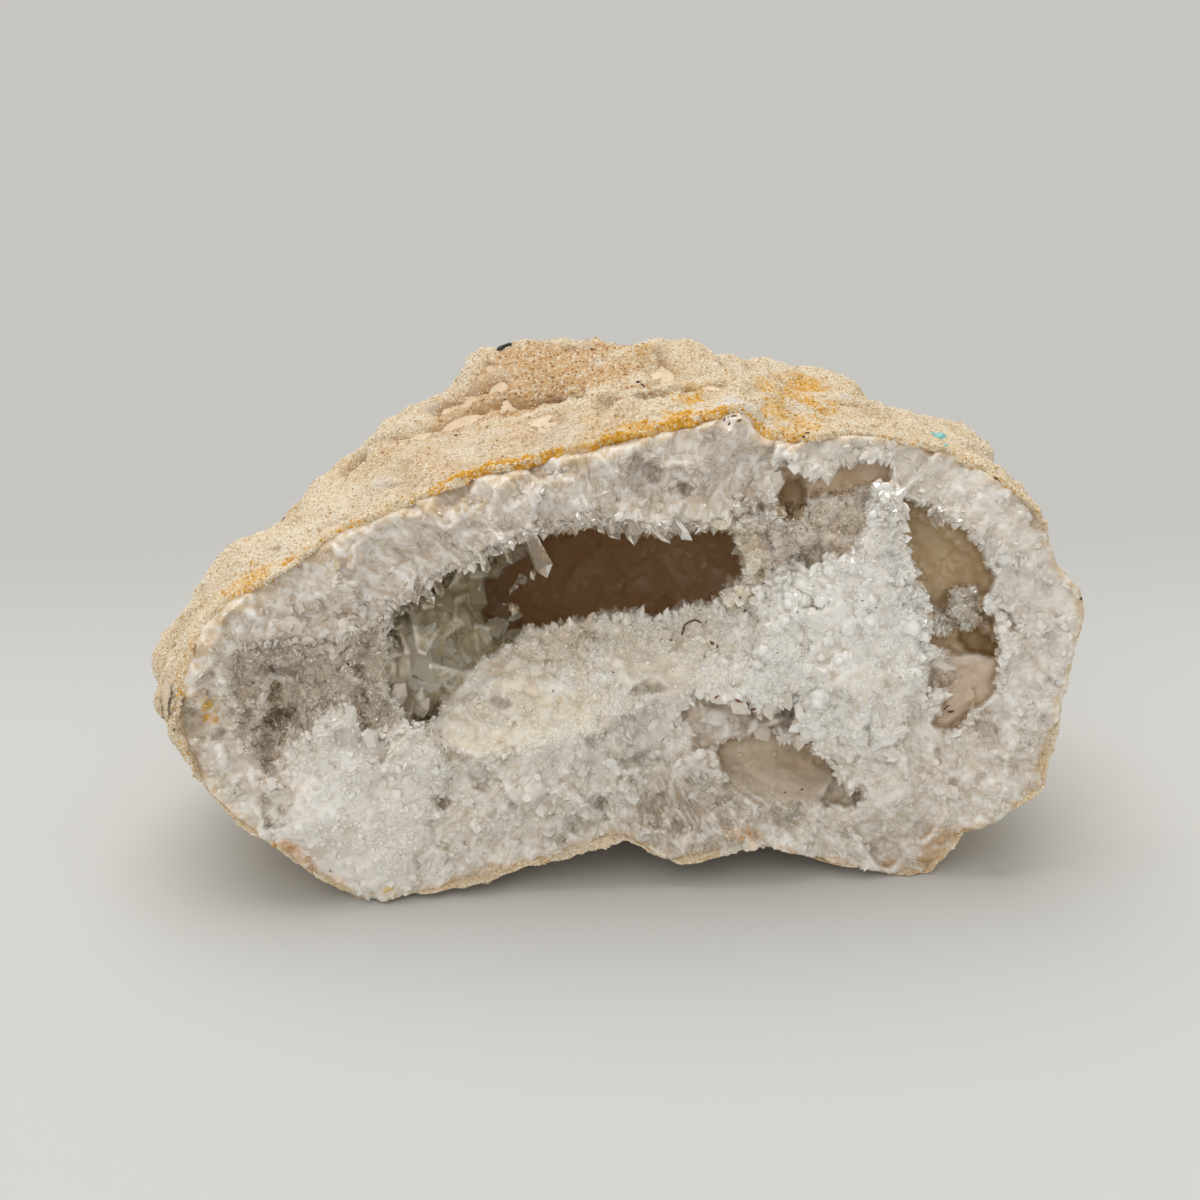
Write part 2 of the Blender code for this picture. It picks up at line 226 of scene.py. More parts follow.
def break_depth(x, s):
    """Depth W of the broken face over (X, S)."""
    q = np.stack([x, s, np.zeros_like(x)], -1)
    w = 0.7 * waves(q, 24.0, 11) + 0.45 * waves(q, 11.0, 12)
    for (cx, cs), (rx, rs), h in GROUND:
        w = w + h * np.exp(-(((x - cx) / rx) ** 2 + ((s - cs) / rs) ** 2))
    return w


# ------------------------------------------------------------------ noise
LATTICE = np.random.default_rng(77).uniform(-1, 1, 32 ** 3).astype(np.float32)


def noise(q, scale, seed):
    """Smooth noise of about -1 to 1. scale is the size of its lumps in mm, one number or one per axis."""
    rng = np.random.default_rng(seed)
    turn, _ = np.linalg.qr(rng.normal(size=(3, 3)))
    if np.ndim(scale):
        turn = np.eye(3)
    p = ((q / np.asarray(scale)) @ turn + rng.uniform(0, 32, 3)).astype(np.float32)
    i = np.floor(p).astype(np.int32)
    f = p - i
    f = f * f * (3 - 2 * f)
    a, b = i & 31, (i + 1) & 31
    xa, xb = a[..., 0] * 1024, b[..., 0] * 1024
    ya, yb = a[..., 1] * 32, b[..., 1] * 32
    za, zb = a[..., 2], b[..., 2]
    fx, fy, fz = f[..., 0], f[..., 1], f[..., 2]

    def lerp(u, v, t):
        return u + (v - u) * t
    low = lerp(lerp(LATTICE[xa + ya + za], LATTICE[xb + ya + za], fx),
               lerp(LATTICE[xa + yb + za], LATTICE[xb + yb + za], fx), fy)
    high = lerp(lerp(LATTICE[xa + ya + zb], LATTICE[xb + ya + zb], fx),
                lerp(LATTICE[xa + yb + zb], LATTICE[xb + yb + zb], fx), fy)
    return lerp(low, high, fz) * 1.6


def fbm(q, scale, octaves, seed, fade=0.5):
    out, size = 0.0, 1.0
    for k in range(octaves):
        out = out + size * noise(q, np.asarray(scale) / 2.0 ** k, seed + k)
        size *= fade
    return out


def cells(q, scale, seed):
    """Scattered points: distance to the nearest one in units of their spacing, its number and the way to it."""
    rng = np.random.default_rng(seed)
    jitter = rng.uniform(0.1, 0.9, (16 ** 3, 3)).astype(np.float32)
    value = rng.uniform(0, 1, 16 ** 3).astype(np.float32)
    turn, _ = np.linalg.qr(rng.normal(size=(3, 3)))
    p = ((q / scale) @ turn).astype(np.float32)
    base = np.floor(p).astype(np.int32)
    best = np.full(q.shape[:-1], 9.0, np.float32)
    tag = np.zeros(q.shape[:-1], np.int32)
    way = np.zeros(q.shape, np.float32)
    for dx in (-1, 0, 1):
        for dy in (-1, 0, 1):
            for dz in (-1, 0, 1):
                c = base + np.array([dx, dy, dz], np.int32)
                h = ((c[..., 0] & 15) * 16 + (c[..., 1] & 15)) * 16 + (c[..., 2] & 15)
                d = p - (c + jitter[h])
                r = (d * d).sum(-1)
                nearer = r < best
                best = np.where(nearer, r, best)
                tag = np.where(nearer, h, tag)
                way = np.where(nearer[..., None], d, way)
    return np.sqrt(best), value[tag], tag, way


def facets(q, scale, seed, rise=0.5, tilt=0.8):
    """Relief like grown crystal tips: a flat, tilted facet in every cell. In mm for a scale in mm."""
    near, value, tag, way = cells(q, scale, seed)
    lean = np.random.default_rng(seed + 1).normal(size=(16 ** 3, 3)).astype(np.float32)
    return scale * (rise * (value - 0.5) + tilt * 0.35 * (lean[tag] * way).sum(-1) - 0.35 * (near - 0.5))


# ------------------------------------------------------------------ mesh and material helpers
def new_object(name, points, faces, smooth_shade=True, world=None):
    """A mesh object from (X, S, W) points in mm and an (n, 3) or (n, 4) array of faces."""
    w = (to_world(points) if world is None else world) * 0.001
    mesh = bpy.data.meshes.new(name)
    n, k = faces.shape
    mesh.vertices.add(len(w))
    mesh.vertices.foreach_set("co", w.astype(np.float32).ravel())
    mesh.loops.add(n * k)
    mesh.loops.foreach_set("vertex_index", faces.astype(np.int32).ravel())
    mesh.polygons.add(n)
    mesh.polygons.foreach_set("loop_start", np.arange(0, n * k, k, dtype=np.int32))
    mesh.polygons.foreach_set("use_smooth", np.full(n, smooth_shade))
    mesh.update(calc_edges=True)
    mesh.validate()
    ob = bpy.data.objects.new(name, mesh)
    bpy.context.scene.collection.objects.link(ob)
    return ob


def set_attribute(ob, name, values):
    a = ob.data.attributes.new(name, 'FLOAT', 'POINT')
    a.data.foreach_set("value", np.clip(values, 0, 1).astype(np.float32))


def set_colour(ob, name, values):
    a = ob.data.color_attributes.new(name, 'FLOAT_COLOR', 'POINT')
    rgba = np.ones((len(values), 4), np.float32)
    rgba[:, :3] = np.clip(values, 0, 1)
    a.data.foreach_set("color", rgba.ravel())


def set_vector(ob, name, values):
    a = ob.data.attributes.new(name, 'FLOAT_VECTOR', 'POINT')
    a.data.foreach_set("vector", values.astype(np.float32).ravel())


class Nodes:
    """Short way to write a material's node graph."""

    def __init__(self, name):
        self.mat = bpy.data.materials.new(name)
        self.mat.use_nodes = True
        self.tree = self.mat.node_tree
        self.bsdf = self.tree.nodes["Principled BSDF"]
        self.out = self.tree.nodes["Material Output"]
        self.place = self.add("ShaderNodeTexCoord").outputs["Object"]

    def add(self, kind, **props):
        n = self.tree.nodes.new(kind)
        for k, v in props.items():
            setattr(n, k, v)
        return n

    def link(self, a, b):
        self.tree.links.new(a, b)

    def put(self, socket, value):
        if isinstance(value, bpy.types.NodeSocket):
            self.link(value, socket)
        elif isinstance(value, (tuple, list)) and len(value) == 3 and socket.type == 'RGBA':
            socket.default_value = (*value, 1.0)
        else:
            socket.default_value = value

    def noise(self, size_mm, detail=3.0, rough=0.5, distort=0.0):
        n = self.add("ShaderNodeTexNoise")
        self.link(self.place, n.inputs["Vector"])
        n.inputs["Scale"].default_value = 1000.0 / size_mm
        n.inputs["Detail"].default_value = detail
        n.inputs["Roughness"].default_value = rough
        n.inputs["Distortion"].default_value = distort
        return n.outputs["Fac"]

    def voronoi(self, size_mm, feature='F1', out="Distance"):
        n = self.add("ShaderNodeTexVoronoi", feature=feature)
        self.link(self.place, n.inputs["Vector"])
        n.inputs["Scale"].default_value = 1000.0 / size_mm
        return n.outputs[out]

    def separate(self, colour):
        """First channel of a colour, here a random number per cell."""
        n = self.add("ShaderNodeSeparateColor")
        self.link(colour, n.inputs[0])
        return n.outputs[0]

    def attr(self, name):
        n = self.add("ShaderNodeAttribute", attribute_name=name)
        return n.outputs["Fac"]

    def attr_colour(self, name):
        n = self.add("ShaderNodeAttribute", attribute_name=name)
        return n.outputs["Color"]

    def facets(self, size_mm, vector=None):
        """Height field of small flat facets, each tilted its own way."""
        n = self.add("ShaderNodeTexVoronoi")
        self.link(self.place if vector is None else vector, n.inputs["Vector"])
        n.inputs["Scale"].default_value = 1000.0 / size_mm
        scaled = self.add("ShaderNodeVectorMath", operation='SCALE')
        self.link(self.place if vector is None else vector, scaled.inputs[0])
        scaled.inputs["Scale"].default_value = 1000.0 / size_mm
        centre = self.add("ShaderNodeVectorMath", operation='SCALE')
        self.link(n.outputs["Position"], centre.inputs[0])
        centre.inputs["Scale"].default_value = 1000.0 / size_mm
        way = self.add("ShaderNodeVectorMath", operation='SUBTRACT')
        self.link(scaled.outputs[0], way.inputs[0])
        self.link(centre.outputs[0], way.inputs[1])
        lean = self.add("ShaderNodeVectorMath", operation='SUBTRACT')
        self.link(n.outputs["Color"], lean.inputs[0])
        lean.inputs[1].default_value = (0.5, 0.5, 0.5)
        dot = self.add("ShaderNodeVectorMath", operation='DOT_PRODUCT')
        self.link(way.outputs[0], dot.inputs[0])
        self.link(lean.outputs[0], dot.inputs[1])
        return dot.outputs["Value"]

    def ramp(self, value, lo, hi, to_lo=0.0, to_hi=1.0):
        n = self.add("ShaderNodeMapRange", interpolation_type='SMOOTHSTEP')
        self.put(n.inputs["Value"], value)
        n.inputs["From Min"].default_value = lo
        n.inputs["From Max"].default_value = hi
        n.inputs["To Min"].default_value = to_lo
        n.inputs["To Max"].default_value = to_hi
        return n.outputs["Result"]

    def math(self, op, a, b=0.0):
        n = self.add("ShaderNodeMath", operation=op)
        self.put(n.inputs[0], a)
        self.put(n.inputs[1], b)
        return n.outputs[0]

    def mix(self, fac, a, b, blend='MIX'):
        n = self.add("ShaderNodeMix", data_type='RGBA', blend_type=blend)
        self.put(n.inputs["Factor"], fac)
        self.put(n.inputs[6], a)
        self.put(n.inputs[7], b)
        return n.outputs[2]

    def bump(self, height, distance_mm, strength=1.0, base=None):
        n = self.add("ShaderNodeBump")
        n.inputs["Strength"].default_value = strength
        n.inputs["Distance"].default_value = distance_mm * 0.001
        self.put(n.inputs["Height"], height)
        if base is not None:
            self.link(base, n.inputs["Normal"])
        return n.outputs["Normal"]

    def set(self, **values):
        for k, v in values.items():
            self.put(self.bsdf.inputs[k.replace("_", " ")], v)


# ------------------------------------------------------------------ skin of the stone, with its fine relief
def ray_to_skin(px, py):
    """Where the line of sight of a pixel first meets the plain skin, as (X, S, W)."""
    eye, ray = ray_at(px, py)
    t = np.arange(230.0, 520.0, 0.25)
    q = to_face(eye + t[:, None] * ray)
    v = q - MIDDLE
    far = np.linalg.norm(v, axis=-1)
    inside = (far < skin_radius(v / far[:, None])) & (q[:, 2] > -1.0)
    return q[np.argmax(inside)] if inside.any() else sight(px, py, 20.0)


CREASES = [  # folds in the skin, in px, with half width and depth in mm
    ([(345, 470), (372, 452), (405, 437), (440, 424), (480, 410), (520, 404), (560, 400)], 1.5, 1.7),
    ([(560, 400), (600, 399), (640, 396), (680, 388), (720, 384)], 1.1, 1.2),
    ([(430, 408), (452, 404), (480, 392), (500, 380)], 1.4, 1.2),
    ([(655, 352), (668, 366), (672, 380)], 1.2, 1.0),
]
HOLES = [((640, 395), 1.0, 1.6), ((560, 402), 1.3, 1.3), ((690, 376), 0.8, 1.0), ((503, 398), 1.0, 1.2),
         ((188, 688), 1.4, 1.2)]
KNOBS = [((630, 362), (5.0, 3.0), 1.6), ((540, 372), (12.0, 5.0), 1.0), ((690, 358), (8.0, 4.0), 0.9),
         ((385, 440), (7.0, 5.0), 1.0), ((835, 385), (6.0, 4.0), 1.1), ((600, 372), (6.0, 4.0), 0.8)]
CREASE_POINTS = []
for path, half_width, deep in CREASES:
    pts = np.array([ray_to_skin(*p) for p in path])
    fine = np.concatenate([np.linspace(a, b, 12, endpoint=False) for a, b in zip(pts, pts[1:])] + [pts[-1:]])
    CREASE_POINTS.append((fine, half_width, deep))
HOLE_POINTS = [(ray_to_skin(*p), r, deep) for p, r, deep in HOLES]
KNOB_POINTS = [(ray_to_skin(*p), r, high) for p, r, high in KNOBS]


def skin_relief(q):
    """Relief of the rind over the plain skin, in mm, and how hollow each place is from 0 to 1."""
    near_rim = smooth(0.0, 7.0, q[..., 2])
    h = (0.45 + 0.55 * near_rim) * 0.75 * fbm(q, 7.0, 2, 31)
    ridged = 1.0 - np.abs(noise(q, 4.2, 41))
    h = h + near_rim * 0.45 * (ridged - 0.6)
    h = h + 0.26 * noise(q, 1.9, 42) + 0.15 * noise(q, 1.0, 43)
    dent = np.zeros(q.shape[:-1])
    for line, half_width, deep in CREASE_POINTS:
        box = ((q > line.min(0) - 6) & (q < line.max(0) + 6)).all(-1)
        d = np.full(q.shape[:-1], 99.0)
        if box.any():
            d[box] = np.sqrt(((q[box][:, None, :] - line[None]) ** 2).sum(-1)).min(1)
        d = d + 0.7 * noise(q, 2.5, 44)
        dent = dent + deep * np.exp(-(np.maximum(d, 0) / half_width) ** 2)
    for c, radius, deep in HOLE_POINTS:
        d = np.linalg.norm(q - c, axis=-1)
        dent = dent + deep * (1.0 - smooth(radius * 0.5, radius * 1.4, d))
    for c, (wide, deep_r), high in KNOB_POINTS:
        d = (q - c) / np.array([wide, deep_r, deep_r])
        h = h + high * np.exp(-(d ** 2).sum(-1))
    near, tag, _, _ = cells(q, 5.5, 45)
    pit = (1.0 - smooth(0.10, 0.22, near)) * (tag > 0.55)
    dent = dent + 0.7 * pit * near_rim
    return h - dent, np.clip(dent / 1.2 + 0.35 * np.clip(-h, 0, 1), 0, 1)


def rind_shown(d):
    """Thickness of rind that shows at the rim, in mm: a line below and on the right, more on top."""
    q = d * 60.0
    lump = 0.5 + 0.5 * noise(q, 6.0, 51)
    top = smooth(-0.1, 0.5, d[..., 1] - 0.25 * d[..., 0])
    return np.clip(0.32 + 0.75 * top + lump * (0.35 + 0.5 * top), 0.3, 2.0)


def face_relief(q, under):
    """Relief of the broken face in mm, plus recedes. under is the depth below the skin."""
    h = 0.85 * fbm(q, 7.5, 2, 61) + 0.40 * fbm(q, 2.6, 2, 62)
    v = q - MIDDLE
    phi = np.arctan2(v[..., 1], v[..., 0])
    fan = np.stack([46.0 * np.cos(phi), 46.0 * np.sin(phi), np.hypot(v[..., 0], v[..., 1]) / 5.0], -1)
    wall = 1.0 - smooth(9.0, 15.0, under)
    return h + wall * 0.35 * noise(fan, 1.3, 63)


# ------------------------------------------------------------------ rind
def make_rind():
    n, rows = 600, 140
    u = np.arange(n) / n
    phi = -pi + 2 * pi * (u + 0.055 * np.sin(2 * pi * (u - 0.5)) * -1.0)
    lo, hi = np.full(n, 4.0), np.full(n, 130.0)

    def rim(inset):
        a, b = lo.copy(), hi.copy()
        for _ in range(34):
            r = 0.5 * (a + b)
            x, s = RIM_CENTRE[0] + r * np.cos(phi), RIM_CENTRE[1] + r * np.sin(phi)
            q = np.stack([x, s, break_depth(x, s)], -1)
            v = q - MIDDLE
            far = np.linalg.norm(v, axis=-1)
            d = v / far[:, None]
            relief, _ = skin_relief(q)
            top = np.minimum(skin_radius(d) + relief, floor_reach(d))
            out = far > top - inset * rind_shown(d)
            b, a = np.where(out, r, b), np.where(out, a, r)
        q[:, 2] += face_relief(q, np.full(n, 1.0))
        return q

    outer_rim = rim(0.0)
    start = outer_rim - MIDDLE
    start /= np.linalg.norm(start, axis=-1)[:, None]
    end = np.array([0.0, RISE, 1.0]) / np.hypot(1.0, RISE)
    turn = np.arccos(np.clip(start @ end, -1, 1))[:, None]
    t = (np.arange(1, rows) / rows) ** 1.18
    d = (np.sin((1 - t)[:, None, None] * turn) * start + np.sin(t[:, None, None] * turn) * end) / np.sin(turn)
    plain = skin_radius(d)
    q = MIDDLE + plain[..., None] * d
    relief, hollow = skin_relief(q)
    fine = np.minimum(plain + relief, floor_reach(d))
    body = MIDDLE + fine[..., None] * d
    tip_r = skin_radius(end[None])
    tip = MIDDLE + tip_r[:, None] * end

    # the cut edge of the rind on the break, then its hidden inner side
    cut = [rim(1.0)]
    for share in (0.66, 0.33):
        ring = rim(share)
        ring[:, 2] -= 0.10 + 0.12 * noise(ring, 1.2, 52)
        cut.append(ring)
    inner = []
    for k, tt in enumerate((0.86, 0.66, 0.46, 0.26, 0.12, 0.05, 0.015)):
        dd = (np.sin((1 - tt) * turn) * start + np.sin(tt * turn) * end) / np.sin(turn)
        inner.append(MIDDLE + (skin_radius(dd) - 1.55)[:, None] * dd)
    inner_tip = MIDDLE + (tip_r - 1.55)[:, None] * end
    grid = [inner_tip] + inner + cut + [outer_rim] + list(body) + [tip]
    points = np.concatenate(grid)
    sizes = [len(g) for g in grid]
    first = np.cumsum([0] + sizes[:-1])
    faces = []
    j = np.arange(n)
    jn = (j + 1) % n
    for k in range(1, len(grid) - 2):
        a, b = first[k], first[k + 1]
        faces.append(np.stack([a + j, a + jn, b + jn, b + j], -1))
    quads = np.concatenate(faces)
    tris = np.concatenate([np.stack([np.full(n, first[0]), first[1] + jn, first[1] + j], -1),
                           np.stack([first[-2] + j, first[-2] + jn, np.full(n, first[-1])], -1)])
    faces = np.concatenate([quads[:, [0, 1, 2]], quads[:, [0, 2, 3]], tris])
    ob = new_object("rind_skin", points, faces)
    hollow_shade_all = np.zeros(len(points))
    at = first[len(inner) + len(cut) + 2]
    hollow_shade_all[at:at + hollow.size] = hollow.ravel()
    tell("rind", len(faces), "triangles")
    shell = faces[(faces >= first[len(inner) + 1]).all(1)]
    return ob, points, hollow_shade_all, shell


# ------------------------------------------------------------------ chart of the break
# The break as it is seen along the photograph's line of sight: depth behind the plane of the break, colour and
# kind of crystal, drawn with outlines given in pixels of the 1200 px frame.
PX, PY = np.arange(124.0, 1117.0, 1.5), np.arange(386.0, 922.0, 1.5)
CX, CY = np.meshgrid(PX, PY)


def plane_points(px, py, depth=0.0):
    """sight() for arrays of pixels."""
    eye, right, up, back = view_axes()
    ray = (-back + ((px - 600.0) / FOCAL_PX)[..., None] * right + ((600.0 - py) / FOCAL_PX)[..., None] * up)
    n = to_world((0, 0, 1)) - to_world((0, 0, 0))
    p0 = to_world((0, 0, 0)) + np.asarray(depth)[..., None] * n
    t = ((p0 - eye) @ n) / (ray @ n)
    return to_face(eye + t[..., None] * ray)


def project(q):
    eye, right, up, back = view_axes()
    d = to_world(q) - eye
    z = -(d @ back)
    return 600 + FOCAL_PX * (d @ right) / z, 600 - FOCAL_PX * (d @ up) / z


CQ = plane_points(CX, CY)
_, JAG_A, _, _ = cells(CQ, 1.7, 201)
_, JAG_B, _, _ = cells(CQ + 50.0, 1.7, 202)
SWAY_A = 3.0 * noise(CQ, 4.0, 203) + 1.6 * noise(CQ, 1.5, 204)
SWAY_B = 3.0 * noise(CQ, 4.0, 205) + 1.6 * noise(CQ, 1.5, 206)


def inside(outline, jag=1.0, sway=1.0):
    """Distance in px inside an outline, negative outside. jag breaks its edge up like crystals, sway bends it."""
    pts = np.array(outline, float)
    cols = (PX > pts[:, 0].min() - 34) & (PX < pts[:, 0].max() + 34)
    rows = (PY > pts[:, 1].min() - 34) & (PY < pts[:, 1].max() + 34)
    out = np.full(CX.shape, -30.0)
    box = np.ix_(rows, cols)
    x = CX[box] + jag * 9.0 * (JAG_A[box] - 0.5) + sway * SWAY_A[box]
    y = CY[box] + jag * 9.0 * (JAG_B[box] - 0.5) + sway * SWAY_B[box]
    best = np.full(x.shape, 1e9)
    hit = np.zeros(x.shape, bool)
    for (ax, ay), (bx, by) in zip(pts, np.roll(pts, -1, 0)):
        ex, ey = bx - ax, by - ay
        t = np.clip(((x - ax) * ex + (y - ay) * ey) / (ex * ex + ey * ey), 0, 1)
        best = np.minimum(best, (x - ax - t * ex) ** 2 + (y - ay - t * ey) ** 2)
        if ay != by:
            hit ^= ((ay > y) != (by > y)) & (x < ex * (y - ay) / ey + ax)
    best = np.sqrt(best)
    out[box] = np.maximum(np.where(hit, best, -best), -30.0)
    return out


def from_line(line, jag=0.7):
    """Distance in px to an open line."""
    x = CX + jag * 7.0 * (JAG_A - 0.5) + SWAY_A
    y = CY + jag * 7.0 * (JAG_B - 0.5) + SWAY_B
    best = np.full(CX.shape, 1e9)
    for (ax, ay), (bx, by) in zip(line, line[1:]):
        ex, ey = bx - ax, by - ay
        t = np.clip(((x - ax) * ex + (y - ay) * ey) / (ex * ex + ey * ey), 0, 1)
        best = np.minimum(best, (x - ax - t * ex) ** 2 + (y - ay - t * ey) ** 2)
    return np.sqrt(best)


def along(table, px):
    return np.interp(px, *np.array(table, float).T)


LEFT_DRUSE = [(238, 647), (270, 648), (307, 642), (344, 637), (373, 624), (396, 608), (392, 640), (386, 670),
              (396, 700), (406, 722), (389, 731), (362, 736), (350, 718), (346, 706), (322, 722), (298, 741),
              (280, 770), (262, 786), (250, 762), (236, 730), (224, 700), (226, 672)]
CLEFT = [(266, 672), (276, 670), (283, 684), (281, 704), (292, 716), (290, 731), (272, 733), (262, 716), (270, 696)]
LOWER_LEFT = [(346, 706), (352, 716), (362, 734), (389, 731), (408, 721), (431, 722), (440, 742), (452, 775),
              (436, 800), (428, 840), (404, 880), (362, 900), (330, 880), (300, 860), (276, 845), (264, 800),
              (278, 778), (298, 741), (322, 722)]
SHELF = [(405, 724), (431, 722), (440, 744), (470, 753), (500, 752), (540, 750), (570, 742), (600, 732),
         (620, 716), (645, 702), (670, 692), (692, 690), (735, 690), (756, 660), (758, 620), (748, 596), (728, 602),
         (700, 609), (660, 617), (625, 613), (600, 616), (563, 625), (548, 628), (533, 624), (505, 640), (470, 663),
         (440, 690), (420, 712)]
BLOCKS = [(394, 604), (415, 594), (441, 574), (470, 563), (502, 552), (536, 530), (534, 574), (520, 582),
          (512, 598), (520, 612), (536, 626), (505, 646), (470, 668), (442, 700), (425, 724), (405, 727), (394, 705),
          (384, 672), (386, 640)]
VOID = [(534, 530), (564, 525), (600, 521), (620, 524), (650, 527), (686, 526), (704, 523), (733, 526), (745, 551),
        (750, 566), (748, 582), (730, 584), (721, 604), (690, 608), (655, 619), (625, 613), (600, 616), (563, 626),
        (548, 629), (533, 625), (519, 610), (512, 597), (520, 582), (536, 574)]
SEPTUM = [(733, 526), (729, 506), (745, 498), (775, 500), (800, 512), (812, 530), (802, 556), (772, 566),
          (750, 578), (745, 551)]
GREY_DRUSE = [(803, 500), (830, 492), (873, 487), (868, 520), (862, 545), (840, 560), (812, 568), (800, 560),
              (812, 530)]
LOBE = [(871, 492), (884, 484), (897, 496), (903, 515), (898, 535), (893, 548), (872, 562), (858, 556), (860, 535),
        (868, 515)]
MASS = [(728, 606), (758, 592), (790, 574), (812, 566), (842, 558), (868, 552), (893, 542), (905, 553), (914, 577),
        (924, 600), (925, 622), (917, 640), (932, 647), (949, 661), (953, 675), (944, 690), (925, 702), (906, 714),
        (890, 742), (852, 746), (812, 737), (798, 724), (795, 705), (790, 688), (785, 698), (765, 711), (745, 703),
        (725, 697), (700, 691), (694, 680), (706, 655), (718, 628)]
UPPER_POCKET = [(774, 480), (786, 463), (800, 465), (812, 471), (822, 476), (835, 466), (842, 461), (870, 455),
                (886, 460), (893, 474), (889, 487), (873, 490), (840, 493), (806, 502), (800, 512), (778, 508)]
OLIVE_HOLE = [(776, 488), (796, 478), (806, 490), (803, 514), (790, 524), (774, 510)]
HANGING_PLATE = [(770, 424), (800, 434), (840, 428), (882, 434), (888, 452), (870, 456), (842, 462), (835, 467),
                 (822, 477), (812, 472), (800, 466), (786, 464), (772, 470)]
RIGHT_POCKET = [(901, 500), (918, 502), (942, 514), (962, 528), (984, 545), (992, 575), (986, 604), (992, 626),
                (1001, 655), (996, 690), (975, 712), (950, 733), (930, 722), (940, 700), (952, 684), (950, 664),
                (934, 650), (922, 640), (925, 618), (917, 590), (909, 560), (902, 530)]
CLUSTER_A = [(948, 598), (958, 587), (974, 589), (981, 606), (978, 624), (962, 631), (950, 620)]
CLUSTER_B = [(925, 612), (936, 606), (948, 616), (950, 630), (936, 634), (926, 626)]
RIGHT_HOLES = [(960, 630), (978, 626), (986, 632), (999, 655), (985, 656), (968, 650), (958, 642)]
RIGHT_FLOOR = [(929, 662), (945, 652), (968, 652), (998, 658), (994, 690), (972, 710), (948, 730), (931, 720),
               (946, 694), (930, 690)]
LEDGE_LOW = [(693, 693), (725, 699), (745, 705), (765, 713), (785, 700), (790, 690), (794, 706), (797, 726),
             (811, 737), (824, 756), (844, 781), (862, 795), (846, 806), (800, 808), (764, 796), (730, 782),
             (704, 764), (690, 740), (684, 712)]
LOW_POCKET = [(719, 741), (733, 736), (746, 731), (764, 729), (772, 736), (778, 747), (791, 738), (808, 744),
              (817, 753), (825, 764), (838, 773), (826, 796), (790, 808), (752, 804), (724, 790)]
SMALL_PIT = [(430, 797), (440, 796), (452, 806), (442, 811), (432, 806)]
TOP_WALL = [(238, 646), (222, 640), (216, 615), (250, 595), (290, 567), (330, 538), (375, 512), (415, 498),
            (465, 480), (520, 468), (590, 454), (640, 440), (690, 424), (760, 420), (800, 436), (776, 470),
            (770, 498), (733, 500), (700, 523), (650, 527), (600, 521), (564, 525), (536, 532), (502, 552),
            (451, 566), (396, 606), (344, 637), (300, 643)]


LEDGE_LINE = [(693, 692), (700, 691), (725, 698), (745, 704), (765, 712), (785, 699), (790, 690), (794, 706),
              (797, 726), (811, 737), (824, 756), (844, 781), (862, 795)]
LEFT_LIP = [(238, 647), (270, 648), (307, 642), (344, 637), (373, 624), (396, 608)]
# swellings of the break: centre and radii in px, height in mm, most of them lumps of grown quartz
LUMPS = [(860, 684, 30, 26, 2.4), (818, 706, 13, 9, 1.6), (855, 728, 12, 14, 1.6), (892, 736, 16, 10, 1.4),
         (775, 640, 30, 18, 2.0), (838, 612, 34, 24, 1.6), (885, 600, 22, 30, 1.2), (720, 668, 30, 16, 1.5),
         (700, 812, 30, 22, 1.8), (655, 825, 18, 24, 1.4), (520, 800, 50, 18, 1.5), (900, 800, 30, 34, 1.5),
         (605, 775, 42, 16, 1.6), (350, 760, 40, 34, 2.0), (400, 800, 34, 24, 1.2), (330, 830, 30, 22, 1.2),
         (455, 830, 40, 18, 1.0), (960, 760, 30, 26, 1.4), (1010, 700, 22, 40, 1.2), (1030, 600, 18, 44, 1.4),
         (1000, 520, 26, 26, 1.0), (560, 500, 60, 16, 1.2), (430, 545, 40, 18, 1.2), (340, 595, 44, 18, 1.4),
         (680, 470, 40, 18, 1.6), (250, 640, 18, 26, 1.0), (240, 760, 22, 30, 1.2), (790, 850, 40, 16, 1.0),
         (640, 745, 40, 16, 1.2), (590, 828, 40, 12, 1.0), (470, 700, 40, 12, 1.0), (560, 715, 50, 12, 1.2)]
DIPS = [(610, 800, 14, 12, 1.4), (575, 826, 14, 8, 1.0), (700, 784, 13, 15, 1.8), (735, 800, 20, 10, 1.2),
        (280, 800, 24, 16, 1.4), (650, 760, 30, 6, 1.4), (500, 775, 40, 6, 1.0), (930, 760, 14, 20, 1.6),
        (985, 730, 14, 20, 1.4), (640, 470, 24, 10, 1.4), (480, 530, 20, 8, 0.8), (300, 620, 20, 8, 0.8),
        (740, 745, 14, 8, 1.2), (880, 768, 20, 8, 1.4), (210, 690, 8, 30, 0.8), (760, 620, 8, 14, 1.2)]


